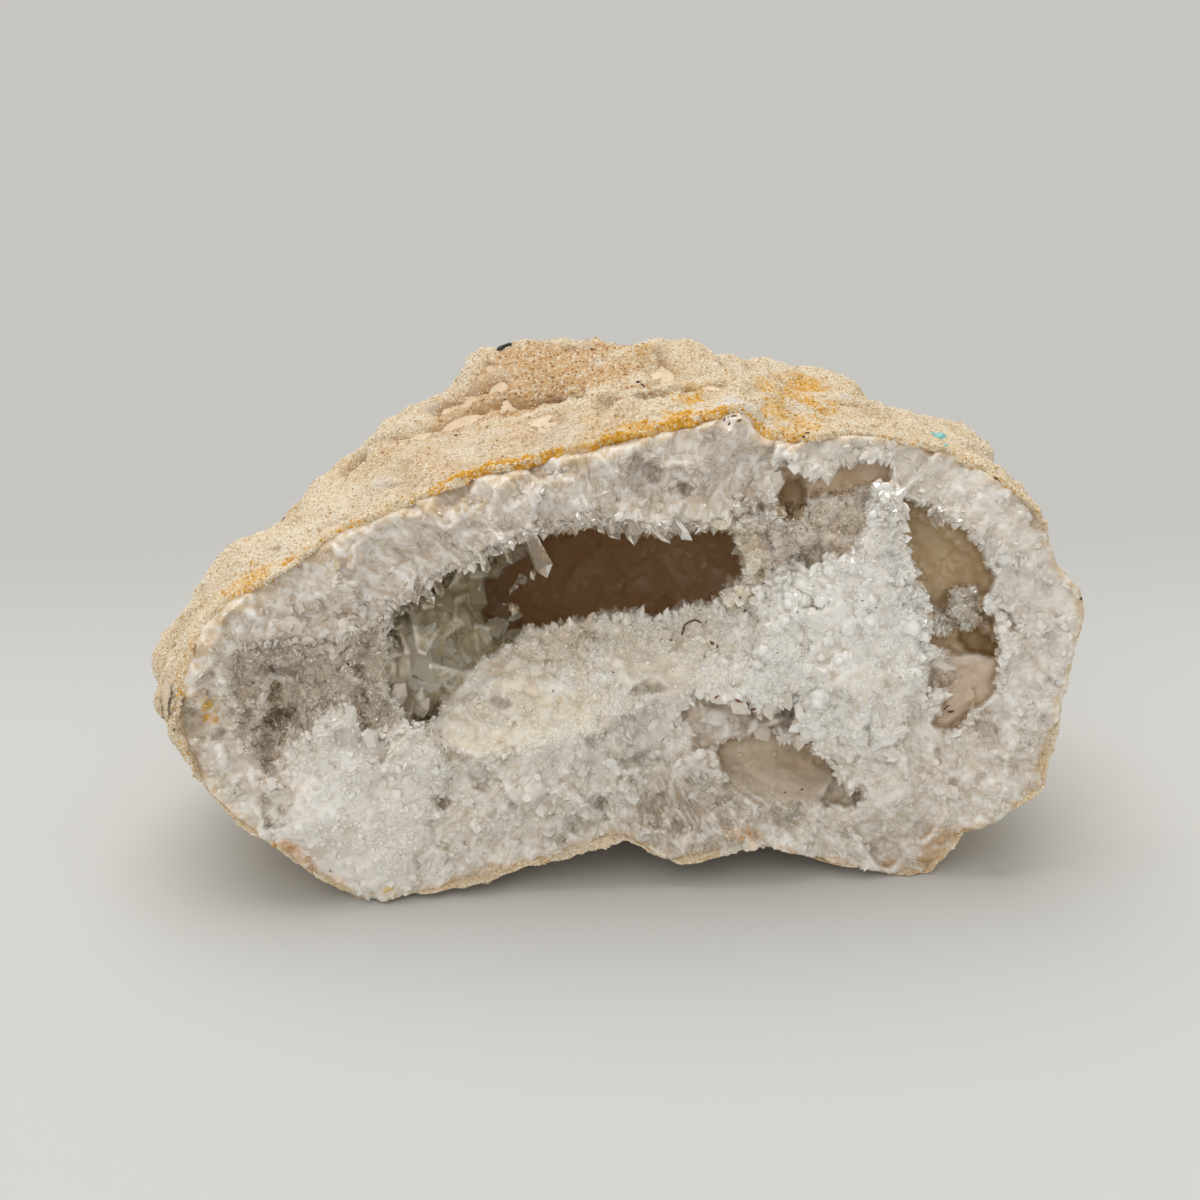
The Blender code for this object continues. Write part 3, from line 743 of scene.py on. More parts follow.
def draw_depth():
    """Depth of the break along the line of sight, in mm behind the plane of the break."""
    d = break_depth(CQ[..., 0], CQ[..., 1])
    grown = facets(CQ, 3.4, 211)

    def put(outline, depth, soft=2.0, jag=1.0, sway=1.0, add=True, bowl=0.0, reach=30.0):
        nonlocal d
        deep = inside(outline, jag, sway)
        m = smooth(-soft, soft, deep)
        lift = depth + bowl * smooth(0, reach, deep)
        d = d + m * lift if add else d + m * (lift - d)

    def lumps(table, sign):
        nonlocal d
        for px, py, rx, ry, h in table:
            r = np.sqrt(((CX - px + 1.5 * SWAY_A) / rx) ** 2 + ((CY - py + 1.5 * SWAY_B) / ry) ** 2)
            d = d + sign * h * (1.0 - smooth(0.35, 1.25, r + 0.5 * (JAG_A - 0.5)))

    d = d + facets(CQ, 9.0, 231, 0.13, 0.42) + facets(CQ, 4.4, 232, 0.13, 0.45)
    lumps(LUMPS, -1.0)
    lumps(DIPS, 1.0)
    put(LEFT_DRUSE, 1.0, 5.0, 0.8, bowl=3.6, reach=30)
    d = d + 2.0 * np.exp(-from_line(LEFT_LIP) / 10.0) * smooth(-1, 1, inside(LEFT_DRUSE, 0.8))
    put(CLEFT, 1.2, 3.0, 0.6)
    put(LOWER_LEFT, -1.4, 2.0, 1.0, bowl=-0.8, reach=26)
    put(TOP_WALL, -0.9, 13.0, 0.5)

    crest = along([(400, 9), (470, 12), (540, 15), (620, 16), (680, 14), (715, 10), (760, 4)], CX)
    top = along([(400, 720), (440, 690), (470, 665), (505, 642), (533, 625), (600, 616), (655, 618), (700, 609),
                 (728, 602), (760, 595)], CX)
    front = along([(400, 728), (440, 744), (470, 753), (540, 751), (600, 733), (640, 706), (692, 692), (760, 690)], CX)
    share = np.clip((front - CY) / np.maximum(front - top, 1.0), -0.2, 1.2)
    slope = crest * np.clip(share, 0, 1.1) ** 0.9 + 0.6 * grown * smooth(0.0, 0.3, share)
    # folds and steps running across the shelf
    fold = noise(CQ * np.array([0.4, 1.0, 1.0]), 3.6, 215) + 0.5 * noise(CQ * np.array([0.6, 1.0, 1.0]), 1.8, 216)
    slope = slope - 1.5 * np.maximum(0, fold) * smooth(0.05, 0.3, share)
    m = smooth(-2.0, 2.0, inside(SHELF, 0.6))
    d = d + m * (slope + 0.2 - d)
    put([(441, 717), (464, 699), (482, 696), (492, 676), (538, 668), (590, 664), (612, 676), (602, 710), (600, 726),
         (564, 738), (543, 750), (510, 747), (507, 754), (474, 757), (442, 744)], -1.3, 1.6, 1.0)

    back = along([(384, 7), (420, 9), (450, 13), (490, 20), (536, 24)], CX)
    back = back - along([(570, -5), (620, -1), (660, 3), (700, 5), (725, 4)], CY) + 0.8 * noise(CQ, 6.0, 214)
    back = back + facets(CQ, 8.0, 219, 0.45, 1.1) + facets(CQ, 4.6, 220, 0.4, 1.0)
    m = smooth(-1.5, 1.5, inside(BLOCKS, 0.7))
    d = d + m * (back - d)
    m = smooth(-1.2, 1.2, inside(VOID, 0.45, 0.5))
    d = d + m * (37.0 + 2.5 * noise(CQ, 9.0, 217) + 1.0 * noise(CQ, 4.0, 218) - d)

    put(SEPTUM, 1.6, 1.6, 1.0, bowl=-1.2, reach=20)
    put(GREY_DRUSE, 2.8, 2.0, 1.0)
    put(LOBE, -2.6, 1.5, 0.8, bowl=-1.8, reach=14)
    put(MASS, -1.0, 5.0, 0.9, bowl=-1.4, reach=30)
    put(UPPER_POCKET, 5.2, 1.4, 0.5, add=False, bowl=1.0)
    put(OLIVE_HOLE, 8.0, 2.5, 0.6, add=False)
    put(HANGING_PLATE, -1.2, 1.2, 0.8)
    put(RIGHT_POCKET, 5.6, 1.8, 0.7, add=False, bowl=2.6, reach=22)
    put(RIGHT_FLOOR, 4.6, 4.0, 0.4, add=False)
    put(RIGHT_HOLES, 10.0, 2.5, 0.6, add=False)
    put(CLUSTER_A, 3.6, 1.6, 1.0, add=False, bowl=-1.8, reach=12)
    put(CLUSTER_B, 4.2, 1.6, 1.0, add=False, bowl=-1.6, reach=10)
    near_ledge = np.exp(-from_line(LEDGE_LINE) / 16.0)
    d = d + smooth(-1.2, 1.2, inside(LEDGE_LOW, 0.7)) * (1.2 + 5.2 * near_ledge)
    put(LOW_POCKET, 0.6 + 6.8 * (1.0 - smooth(742, 806, CY)), 1.4, 0.5, add=False)
    put(SMALL_PIT, 2.6, 2.0, 0.4)
    # nothing stands further forward than the foot of the break
    ahead = -48.7 - to_world(plane_points(CX, CY, d))[..., 1]
    return d + np.maximum(0.0, ahead + 0.7 * np.exp(-np.abs(ahead) / 0.7))


def soften(f, px=1.0):
    for axis in (0, 1):
        k = np.arange(-3, 4)
        g = np.exp(-0.5 * (k * 1.5 / px) ** 2)
        g /= g.sum()
        f = sum(w * np.roll(f, i, axis) for i, w in zip(k, g))
    return f


def chart(field, px, py):
    """Value of a chart at pixels."""
    x = np.clip((px - PX[0]) / 1.5, 0, len(PX) - 1.001)
    y = np.clip((py - PY[0]) / 1.5, 0, len(PY) - 1.001)
    i, j = x.astype(int), y.astype(int)
    u, v = x - i, y - j
    if field.ndim == 3:
        u, v = u[..., None], v[..., None]
    return ((field[j, i] * (1 - u) + field[j, i + 1] * u) * (1 - v)
            + (field[j + 1, i] * (1 - u) + field[j + 1, i + 1] * u) * v)


def srgb(r, g, b):
    c = np.array([r, g, b]) / 255.0
    return np.where(c <= 0.04045, c / 12.92, ((c + 0.055) / 1.055) ** 2.4)


def draw_colour():
    """Colour of the quartz on the chart."""
    tint = np.zeros(CX.shape + (3,)) + srgb(232, 226, 217)

    def wash(outline, colour, strength=1.0, soft=6.0, jag=0.6, grain=None):
        nonlocal tint
        m = strength * smooth(-soft, soft, inside(outline, jag))
        if grain:
            size, low, high, seed = grain
            m = m * smooth(low, high, noise(CQ, size, seed) + 0.5 * noise(CQ, size * 0.45, seed + 1))
        tint = tint + m[..., None] * (srgb(*colour) - tint)

    def spot(px, py, rx, ry, colour, strength=1.0, soft=0.5):
        nonlocal tint
        r = np.sqrt(((CX - px + 1.4 * SWAY_A) / rx) ** 2 + ((CY - py + 1.4 * SWAY_B) / ry) ** 2)
        m = strength * (1.0 - smooth(1.0 - soft, 1.0 + soft, r))
        tint = tint + m[..., None] * (srgb(*colour) - tint)

    wash(TOP_WALL, (213, 201, 187), 0.9, 8)
    spot(215, 680, 46, 90, (216, 204, 190), 0.8)
    spot(1035, 640, 52, 160, (228, 223, 217), 0.85)
    spot(985, 770, 60, 60, (222, 213, 201), 0.8)
    spot(690, 820, 70, 42, (189, 175, 158), 0.85)
    spot(850, 830, 90, 40, (216, 208, 196), 0.7)
    spot(350, 820, 90, 80, (242, 239, 234), 0.85)
    spot(430, 770, 60, 30, (236, 233, 226), 0.7)
    spot(272, 785, 26, 44, (222, 210, 194), 0.6)
    spot(610, 740, 70, 40, (217, 214, 207), 0.6)
    wash(MASS, (250, 248, 243), 0.95, 18)
    spot(882, 606, 52, 60, (255, 255, 254), 0.95)
    wash(LEFT_DRUSE, (219, 206, 190), 0.95, 9)
    wash(CLEFT, (180, 162, 130), 0.9, 4)
    wash(SEPTUM, (207, 194, 179), 0.8, 5)
    wash(GREY_DRUSE, (236, 224, 208), 0.9, 5)
    wash(LOBE, (240, 237, 232), 0.9, 4)
    wash(UPPER_POCKET, (240, 217, 188), 0.95, 3)
    wash(OLIVE_HOLE, (220, 196, 156), 0.95, 3)
    wash(RIGHT_POCKET, (208, 183, 145), 0.95, 4)
    wash(RIGHT_FLOOR, (222, 206, 188), 0.9, 5)
    wash(RIGHT_HOLES, (190, 164, 120), 0.95, 3)
    wash(CLUSTER_A, (212, 203, 188), 0.95, 2)
    wash(CLUSTER_B, (212, 203, 188), 0.95, 2)
    wash(LEDGE_LOW, (210, 199, 185), 0.9, 3)
    wash(LOW_POCKET, (196, 181, 161), 0.95, 3)
    spot(785, 796, 52, 18, (196, 182, 164), 0.7)
    spot(800, 758, 34, 14, (198, 180, 152), 0.8)
    spot(745, 748, 26, 12, (206, 190, 166), 0.7)
    wash(SHELF, (252, 248, 241), 0.95, 5)
    wash([(477, 640), (520, 628), (590, 622), (600, 640), (575, 668), (520, 672), (482, 680)], (236, 225, 209),
         0.8, 7)
    wash([(441, 717), (464, 699), (482, 696), (492, 676), (538, 668), (590, 664), (610, 676), (602, 710), (600, 724),
          (564, 737), (543, 749), (510, 746), (507, 753), (474, 755), (442, 742)], (250, 243, 229), 0.9, 4, 0.9,
         (2.6, -0.3, 0.1, 221))
    wash([(450, 742), (468, 722), (500, 706), (540, 700), (590, 690), (612, 680), (604, 708), (590, 728), (564, 738),
          (543, 750), (507, 754), (474, 757)], (252, 245, 231), 1.0, 3, 0.9, (2.0, -0.9, -0.5, 222))
    wash([(599, 626), (650, 628), (700, 618), (735, 640), (712, 679), (650, 690), (606, 676)], (252, 246, 234),
         1.0, 8, 0.9, (2.2, -0.8, -0.3, 223))
    wash(BLOCKS, (188, 180, 156), 0.95, 3)
    spot(480, 600, 46, 40, (196, 184, 148), 0.8)
    spot(405, 680, 26, 40, (196, 187, 169), 0.8)
    spot(428, 650, 4, 9, (84, 74, 52), 0.9)
    wash(VOID, (251, 222, 180), 1.0, 1.5, 0.4)
    spot(560, 580, 40, 50, (240, 210, 166), 0.7)
    spot(715, 560, 40, 44, (255, 240, 206), 0.9)
    # grey clear spots, yellow spot, warm stains
    for px, py, rx, ry in ((601, 806, 8, 12), (577, 827, 12, 8), (549, 798, 6, 5), (519, 810, 5, 4), (590, 826, 8, 5),
                           (700, 784, 11, 14), (690, 800, 9, 7), (560, 835, 9, 5), (728, 806, 8, 5), (790, 815, 14, 9),
                           (665, 762, 9, 4), (655, 765, 5, 3), (648, 690, 12, 6), (500, 700, 12, 5), (842, 838, 6, 4)):
        spot(px, py, rx, ry, (168, 160, 144), 0.75, 0.4)
    spot(206, 712, 13, 20, (214, 194, 140), 0.6, 0.7)
    spot(203, 703, 5, 9, (230, 184, 30), 1.0, 0.5)
    spot(206, 721, 8, 8, (228, 172, 14), 1.0, 0.5)
    # crust left on the rim
    for px, py, rx, ry, colour in (
            (290, 850, 17, 10, (208, 150, 72)), (304, 866, 11, 7, (186, 122, 50)), (336, 884, 13, 6, (206, 146, 60)),
            (387, 896, 14, 4, (226, 196, 130)), (502, 873, 21, 6, (218, 182, 140)), (616, 842, 15, 9, (208, 168, 120)),
            (640, 850, 10, 4, (216, 184, 140)), (744, 838, 19, 7, (214, 176, 126)), (796, 850, 5, 5, (206, 166, 116)),
            (890, 867, 10, 5, (216, 184, 146)), (940, 850, 18, 22, (208, 170, 126)), (925, 862, 12, 8, (196, 156, 110)),
            (460, 884, 20, 4, (222, 192, 150)), (560, 860, 20, 4, (214, 182, 140)), (675, 858, 14, 3, (220, 192, 156)),
            (832, 866, 20, 3, (220, 194, 160)), (245, 828, 12, 4, (226, 196, 150)), (965, 832, 8, 8, (222, 192, 152))):
        spot(px, py, rx, ry, colour, 0.95, 0.45)
    for px, py, rx, ry in ((262, 600, 26, 10), (330, 560, 40, 8), (420, 510, 50, 7), (520, 480, 60, 6),
                           (480, 500, 20, 6), (455, 505, 10, 8)):
        spot(px, py, rx, ry, (222, 198, 160), 0.6, 0.7)
    return np.clip(tint, 0, 1)


# ------------------------------------------------------------------ quartz
def chamber_field(q, middle, radii):
    v = q - np.array(middle)
    k = np.sqrt(((v / np.array(radii)) ** 2).sum(-1))
    return np.linalg.norm(v, axis=-1) * (1.0 - 1.0 / np.maximum(k, 1e-3)) - 0.9 * waves(q, 13.0, 21)


def refine(f, factor=2):
    """Linear interpolation of a grid to a finer one."""
    for axis in range(3):
        n = f.shape[axis]
        pos = np.arange((n - 1) * factor + 1) / factor
        i = np.minimum(pos.astype(int), n - 2)
        t = (pos - i).astype(np.float32)
        shape = [1, 1, 1]
        shape[axis] = -1
        t = t.reshape(shape)
        f = np.take(f, i, axis) * (1 - t) + np.take(f, i + 1, axis) * t
    return f


def surface_net(f, origin, step):
    """Closed surface of the zero level of a grid: points, and quads facing out of the negative side."""
    inside = f < 0
    count = np.zeros(tuple(n - 1 for n in f.shape), np.int8)
    for dx in (0, 1):
        for dy in (0, 1):
            for dz in (0, 1):
                count += inside[dx:dx + count.shape[0], dy:dy + count.shape[1], dz:dz + count.shape[2]]
    cell = np.argwhere((count > 0) & (count < 8))
    index = np.full(count.shape, -1, np.int32)
    index[tuple(cell.T)] = np.arange(len(cell))
    total, hits = np.zeros((len(cell), 3)), np.zeros(len(cell))
    corners = [(0, 0, 0), (1, 0, 0), (0, 1, 0), (1, 1, 0), (0, 0, 1), (1, 0, 1), (0, 1, 1), (1, 1, 1)]
    value = {c: f[cell[:, 0] + c[0], cell[:, 1] + c[1], cell[:, 2] + c[2]] for c in corners}
    for a in corners:
        for axis in range(3):
            if a[axis]:
                continue
            b = tuple(v + (k == axis) for k, v in enumerate(a))
            fa, fb = value[a], value[b]
            cross = (fa < 0) != (fb < 0)
            t = np.where(cross, fa / np.where(cross, fa - fb, 1), 0)
            p = np.tile(np.array(a, float), (len(cell), 1))
            p[:, axis] += t
            total += np.where(cross[:, None], p, 0)
            hits += cross
    points = origin + step * (cell + total / hits[:, None])
    quads = []
    for axis in range(3):
        o1, o2 = (axis + 1) % 3, (axis + 2) % 3
        lead = [slice(None)] * 3
        lead[axis] = slice(0, -1)
        follow = [slice(None)] * 3
        follow[axis] = slice(1, None)
        change = inside[tuple(lead)] != inside[tuple(follow)]
        edge = np.argwhere(change)
        edge = edge[(edge[:, o1] > 0) & (edge[:, o2] > 0)
                    & (edge[:, o1] < f.shape[o1] - 1) & (edge[:, o2] < f.shape[o2] - 1)]
        e1, e2 = np.eye(3, dtype=int)[o1], np.eye(3, dtype=int)[o2]
        ring = [index[tuple((edge - m * e1 - n * e2).T)] for m, n in ((1, 1), (0, 1), (0, 0), (1, 0))]
        ring = np.stack(ring, -1)
        flip = ~inside[tuple(edge.T)]
        ring[flip] = ring[flip][:, ::-1]
        quads.append(ring)
    return points, np.concatenate(quads)


STEP = 0.45
DEPTH = soften(draw_depth(), 1.0)
TINT = draw_colour()
# raised edges of the break are whitened as a painted highlight; the ground between them is darkened and warmed as
# painted shade
bend = soften(soften(DEPTH, 2.0), 2.0) - DEPTH
TINT = TINT + (0.55 * smooth(0.04, 0.40, bend))[..., None] * (srgb(248, 247, 244) - TINT)
TINT = TINT * (1.0 - (0.75 * smooth(0.04, 0.50, -bend))[..., None] * np.array([0.22, 0.28, 0.36]))
GROWN = np.zeros(CX.shape)      # 1 where the break shows grown crystals, 0 where the wall is broken through
for outline in (LEFT_DRUSE, SEPTUM, GREY_DRUSE, LOBE, MASS, UPPER_POCKET, RIGHT_POCKET, LEDGE_LOW, SHELF, BLOCKS, VOID):
    GROWN = np.maximum(GROWN, smooth(-3, 3, inside(outline, 0.6)))
CALM = np.zeros(CX.shape)       # 1 where the grown quartz is smooth and glassy
for outline, much in (([(835, 566), (892, 556), (916, 600), (925, 650), (905, 700), (850, 718), (820, 690), (812, 640)], 0.85),
                      (RIGHT_POCKET, 0.55), (UPPER_POCKET, 0.6), (LOW_POCKET, 0.7), (VOID, 0.5), (BLOCKS, 0.6)):
    CALM = np.maximum(CALM, much * smooth(-8, 8, inside(outline, 0.6)))
tell("chart of the break", CX.shape)


def make_quartz():
    coarse = STEP * 3
    lo, hi = np.array([-84.0, -3.0, -6.5]), np.array([84.0, 92.0, 92.0])
    count = np.ceil((hi - lo) / coarse).astype(int) + 1
    axes = [lo[k] + coarse * np.arange(count[k]) for k in range(3)]
    q = np.stack(np.meshgrid(*axes, indexing='ij'), -1)
    v = q - MIDDLE
    far = np.maximum(np.linalg.norm(v, axis=-1), 1e-6)
    d = v / far[..., None]
    skin = (far - skin_radius(d)).astype(np.float32)
    skin = skin + (rind_shown(d) - 0.25).astype(np.float32)
    hollow = np.full(q.shape[:-1], 99.0)
    for middle, radii in CHAMBERS.values():
        hollow = np.minimum(hollow, chamber_field(q, middle, radii))
    tell("coarse fields", q.shape)
    skin, hollow = (refine(f.astype(np.float32), 3) for f in (skin, hollow))
    # depth behind the surface drawn on the chart
    shape = skin.shape
    axes = [lo[k] + STEP * np.arange(shape[k]) for k in range(3)]
    face = np.empty(shape, np.float32)
    for i, x in enumerate(axes[0]):
        s, w = np.meshgrid(axes[1], axes[2], indexing='ij')
        px, py = project(np.stack([np.full_like(s, x), s, w], -1))
        face[i] = chart(DEPTH, px, py) - w
    tell("fine fields", shape)
    shown = np.maximum(np.clip(face, -3.0, 3.0), -hollow)
    f = np.maximum(skin, shown)
    band = np.argwhere((np.abs(f) < 2.0) & (shown > -2.6))
    where = tuple(band.T)
    p = lo + STEP * band
    px, py = project(p)
    grown = np.maximum(chart(GROWN, px, py), smooth(2.0, 5.0, -face[where]))
    under = -skin[where]
    wall = 1.0 - grown
    relief = (0.5 + 0.5 * wall) * face_relief(p, under)
    sharp = (0.35 + 0.60 * grown) * (1.0 - 0.7 * chart(CALM, px, py))
    relief = relief + sharp * (0.55 * facets(p, 2.4, 71) + 0.45 * facets(p, 1.3, 73))
    tell("fine relief on", len(band), "points")
    shown[where] = shown[where] - relief.astype(np.float32)
    f = np.maximum(skin, shown)
    for axis in range(3):       # nothing touches the sides of the grid
        for end in (0, -1):
            sl = [slice(None)] * 3
            sl[axis] = end
            f[tuple(sl)] = np.maximum(f[tuple(sl)], 0.5)
    points, quads = surface_net(f, lo, STEP)
    world = to_world(points)
    world[:, 2] = np.maximum(world[:, 2], 0.35)
    points = to_face(world)
    tell("surface", len(points), "points", len(quads), "quads")
    return points, quads, (skin, face, lo)


def sample(field, q, lo):
    """Nearest value of a fine grid at points q."""
    i = np.clip(np.round((q - lo) / STEP).astype(int), 0, np.array(field.shape) - 1)
    return field[tuple(i.T)]


def tint_at(q, deep):
    """Colour of the quartz at places q, deep mm behind the surface that the line of sight meets."""
    px, py = project(q)
    seen = 1.0 - smooth(1.5, 5.0, np.abs(deep))
    colour = chart(TINT, px, py)
    back = smooth(6, 40, q[:, 2])[:, None]
    cave = srgb(228, 210, 184) * (1 - back) + srgb(226, 190, 144) * back
    return colour * seen[:, None] + cave * (1 - seen[:, None])


# ------------------------------------------------------------------ crystals
def crystals(name, pos, axis, width, length, rng, squash=None, embed=0.4, tip=0.62, smooth_shade=False):
    """One joined mesh of closed six-sided crystals, each a prism with a point, standing on pos along axis."""
    n = len(pos)
    axis = axis / np.linalg.norm(axis, axis=-1)[:, None]
    helper = rng.normal(size=(n, 3))
    b = np.cross(axis, helper)
    b /= np.linalg.norm(b, axis=-1)[:, None]
    c = np.cross(axis, b)
    squash = rng.uniform(0.62, 1.0, n) if squash is None else squash
    w, l = np.asarray(width)[:, None], np.asarray(length)[:, None]
    foot = pos - axis * l * embed
    tip_h = np.minimum(tip * w, 0.55 * l)
    shoulder = pos + axis * (l * (1 - embed) - tip_h)
    apex = pos + axis * l * (1 - embed) + (b * rng.uniform(-0.22, 0.22, (n, 1)) + c * rng.uniform(-0.22, 0.22, (n, 1))) * w
    angle = np.arange(6) * pi / 3
    rings = []
    for base, grow in ((foot, 0.92), (shoulder, 1.0)):
        for k in angle:
            wobble = rng.uniform(0.88, 1.12, (n, 1))
            slant = axis * w * (0.0 if base is foot else 1.0) * rng.uniform(-0.10, 0.10, (n, 1))
            rings.append(base + slant + 0.5 * w * grow * wobble * (cos(k) * b + sin(k) * squash[:, None] * c))
    points = np.stack(rings + [apex], 1)      # n, 13, 3
    face = []
    for k in range(6):
        m = (k + 1) % 6
        face += [(k, m, 6 + m), (k, 6 + m, 6 + k), (6 + k, 6 + m, 12)]
    face += [(0, 2, 1), (0, 3, 2), (0, 4, 3), (0, 5, 4)]
    face = np.array(face)
    faces = (face[None] + 13 * np.arange(n)[:, None, None]).reshape(-1, 3)
    ob = new_object(name, points.reshape(-1, 3), faces, smooth_shade=smooth_shade)
    tell(name, n, "crystals", len(faces), "triangles")
    return ob


def gems(name, pos, axis, width, up, down, rng, sides=6, smooth_shade=False):
    """One joined mesh of closed grains: a girdle with a point above it and one below."""
    n = len(pos)
    axis = axis / np.linalg.norm(axis, axis=-1)[:, None]
    b = np.cross(axis, rng.normal(size=(n, 3)))
    b /= np.linalg.norm(b, axis=-1)[:, None]
    c = np.cross(axis, b) * rng.uniform(0.65, 1.0, (n, 1))
    w = np.asarray(width)[:, None]
    ring = []
    for k in np.arange(sides) * 2 * pi / sides:
        reach = 0.5 * w * rng.uniform(0.8, 1.15, (n, 1))
        ring.append(pos + reach * (cos(k) * b + sin(k) * c) + axis * w * rng.uniform(-0.12, 0.12, (n, 1)))
    lean = (b * rng.uniform(-0.2, 0.2, (n, 1)) + c * rng.uniform(-0.2, 0.2, (n, 1))) * w
    points = np.stack(ring + [pos + axis * np.asarray(up)[:, None] + lean, pos - axis * np.asarray(down)[:, None]], 1)
    face = []
    for k in range(sides):
        m = (k + 1) % sides
        face += [(k, m, sides), (m, k, sides + 1)]
    faces = (np.array(face)[None] + (sides + 2) * np.arange(n)[:, None, None]).reshape(-1, 3)
    ob = new_object(name, points.reshape(-1, 3), faces, smooth_shade=smooth_shade)
    tell(name, n, "grains", len(faces), "triangles")
    return ob


def pick(points, tris, normals, weight, count, rng):
    """Random places on a surface: positions and normals, with a chance per triangle set by weight."""
    a, b, c = (points[tris[:, k]] for k in range(3))
    area = 0.5 * np.linalg.norm(np.cross(b - a, c - a), axis=-1)
    chance = area * weight
    total = chance.sum()
    if total <= 0:
        return np.zeros((0, 3)), np.zeros((0, 3))
    at = np.searchsorted(np.cumsum(chance) / total, rng.uniform(0, 1, count))
    at = np.minimum(at, len(tris) - 1)
    u = np.sqrt(rng.uniform(0, 1, (count, 1)))
    v = rng.uniform(0, 1, (count, 1))
    pos = (1 - u) * a[at] + u * (1 - v) * b[at] + u * v * c[at]
    nrm = normals[tris[at]].mean(1)
    return pos, nrm / np.maximum(np.linalg.norm(nrm, axis=-1)[:, None], 1e-6)


def vertex_normals(points, tris):
    a, b, c = (points[tris[:, k]] for k in range(3))
    fn = np.cross(b - a, c - a)
    out = np.zeros_like(points)
    for k in range(3):
        for m in range(3):
            out[:, m] += np.bincount(tris[:, k], fn[:, m], len(points))
    return out / np.maximum(np.linalg.norm(out, axis=-1)[:, None], 1e-9)


# ------------------------------------------------------------------ build
rind_ob, rind_q, rind_hollow_shade, rind_tris = make_rind()
q_points, q_quads, (g_skin, g_face, g_lo) = make_quartz()
q_tris = np.concatenate([q_quads[:, [0, 1, 2]], q_quads[:, [0, 2, 3]]])
q_normals = vertex_normals(q_points, q_tris)
under_q = -sample(g_skin, q_points, g_lo)
deep_q = -sample(g_face, q_points, g_lo)
hidden = (under_q < 0.6) & (deep_q > 2.5)
quartz_ob = new_object("quartz_wall", q_points, q_quads)
group = quartz_ob.vertex_groups.new(name="hidden")
group.add(np.nonzero(hidden)[0].tolist(), 1.0, 'REPLACE')
hidden_tris = int(hidden[q_tris].all(1).sum())
shown_tris = len(q_tris) - hidden_tris
tell("quartz triangles shown", shown_tris, "hidden", hidden_tris)


def reduce_mesh(ob, target, group_name=None):
    dec = ob.modifiers.new("fewer", 'DECIMATE')
    dec.ratio = min(1.0, target / sum(len(p.vertices) - 2 for p in ob.data.polygons))
    if group_name:
        dec.vertex_group = group_name
        dec.vertex_group_factor = 10.0
    reduced = bpy.data.meshes.new_from_object(ob.evaluated_get(bpy.context.evaluated_depsgraph_get()))
    ob.modifiers.clear()
    old = ob.data
    ob.data = reduced
    bpy.data.meshes.remove(old)
    reduced.name = ob.name


reduce_mesh(quartz_ob, shown_tris + 8000.0, "hidden")
tell("quartz reduced to", len(quartz_ob.data.polygons))
if len(quartz_ob.data.polygons) > 196000:
    reduce_mesh(quartz_ob, 194000.0)
    tell("quartz reduced to", len(quartz_ob.data.polygons))
quartz_ob.vertex_groups.clear()


def zone(*outlines, grow=0.0, soft=3.0):
    m = np.zeros(CX.shape)
    for o in outlines:
        m = np.maximum(m, smooth(-soft, soft, inside(o, 0.6) + grow))
    return m


def vertices_of(ob):
    co = np.zeros(len(ob.data.vertices) * 3, np.float32)
    ob.data.vertices.foreach_get("co", co)
    return to_face(co.reshape(-1, 3).astype(float) * 1000.0)


qv = vertices_of(quartz_ob)
under_v, deep_v = -sample(g_skin, qv, g_lo), -sample(g_face, qv, g_lo)
tint = tint_at(qv, deep_v)
px, py = project(qv)
soft_left = (1.0 - smooth(230, 360, px)) * (1.0 - smooth(680, 760, py))
edge = (1.0 - smooth(0.2, 2.2 + 4.5 * soft_left, under_v + 0.9 * noise(qv, 3.0, 95)))[:, None]
tint = tint + 0.8 * edge * (srgb(228, 208, 178) - tint)
near_skin = (0.4 * smooth(1.2, 3.2, under_v) * (1.0 - smooth(6.0, 11.0, under_v)) * (1.0 - smooth(1.0, 3.0, np.abs(deep_v))))
tint = tint + near_skin[:, None] * (srgb(246, 244, 240) - tint)
set_colour(quartz_ob, "tint", tint)
set_attribute(quartz_ob, "cave", np.maximum(smooth(2.0, 5.0, np.abs(deep_v)), chart(zone(VOID, LOW_POCKET, RIGHT_POCKET,
                                                                                     UPPER_POCKET), px, py)))
grown_v = np.maximum(chart(GROWN, px, py), smooth(2.0, 5.0, np.abs(deep_v)))
set_attribute(quartz_ob, "grown", grown_v)
v = qv - np.array([RIM_CENTRE[0], RIM_CENTRE[1], 0.0])
rad = np.hypot(v[:, 0], v[:, 1])
girth = (45.0 + qv[:, 2] / 1.5) / np.maximum(rad, 1.0)
set_vector(quartz_ob, "fan", np.stack([v[:, 0] * girth, v[:, 1] * girth, rad / 4.0], -1) * 0.001)

# where crystals stand
t_mid = q_points[q_tris].mean(1)
t_under, t_deep = under_q[q_tris].mean(1), deep_q[q_tris].mean(1)
t_px, t_py = project(t_mid)
t_seen = (1.0 - smooth(0.8, 2.5, np.abs(t_deep)))
t_ok = (t_under > 1.2) * 1.0


def filtered(f, n, fn):
    out = f.copy()
    for axis in (0, 1):
        base = out.copy()
        for k in range(-n, n + 1):
            out = fn(out, np.roll(base, k, axis))
    return out


near_max, near_min = filtered(DEPTH, 4, np.maximum), filtered(DEPTH, 4, np.minimum)
LIP = smooth(1.5, 4.5, near_max - DEPTH) * (1.0 - smooth(0.6, 2.0, DEPTH - near_min))
LIP = np.clip(soften(LIP, 2.0) * 1.5, 0, 1)


def at_t(field):
    return chart(field, t_px, t_py)


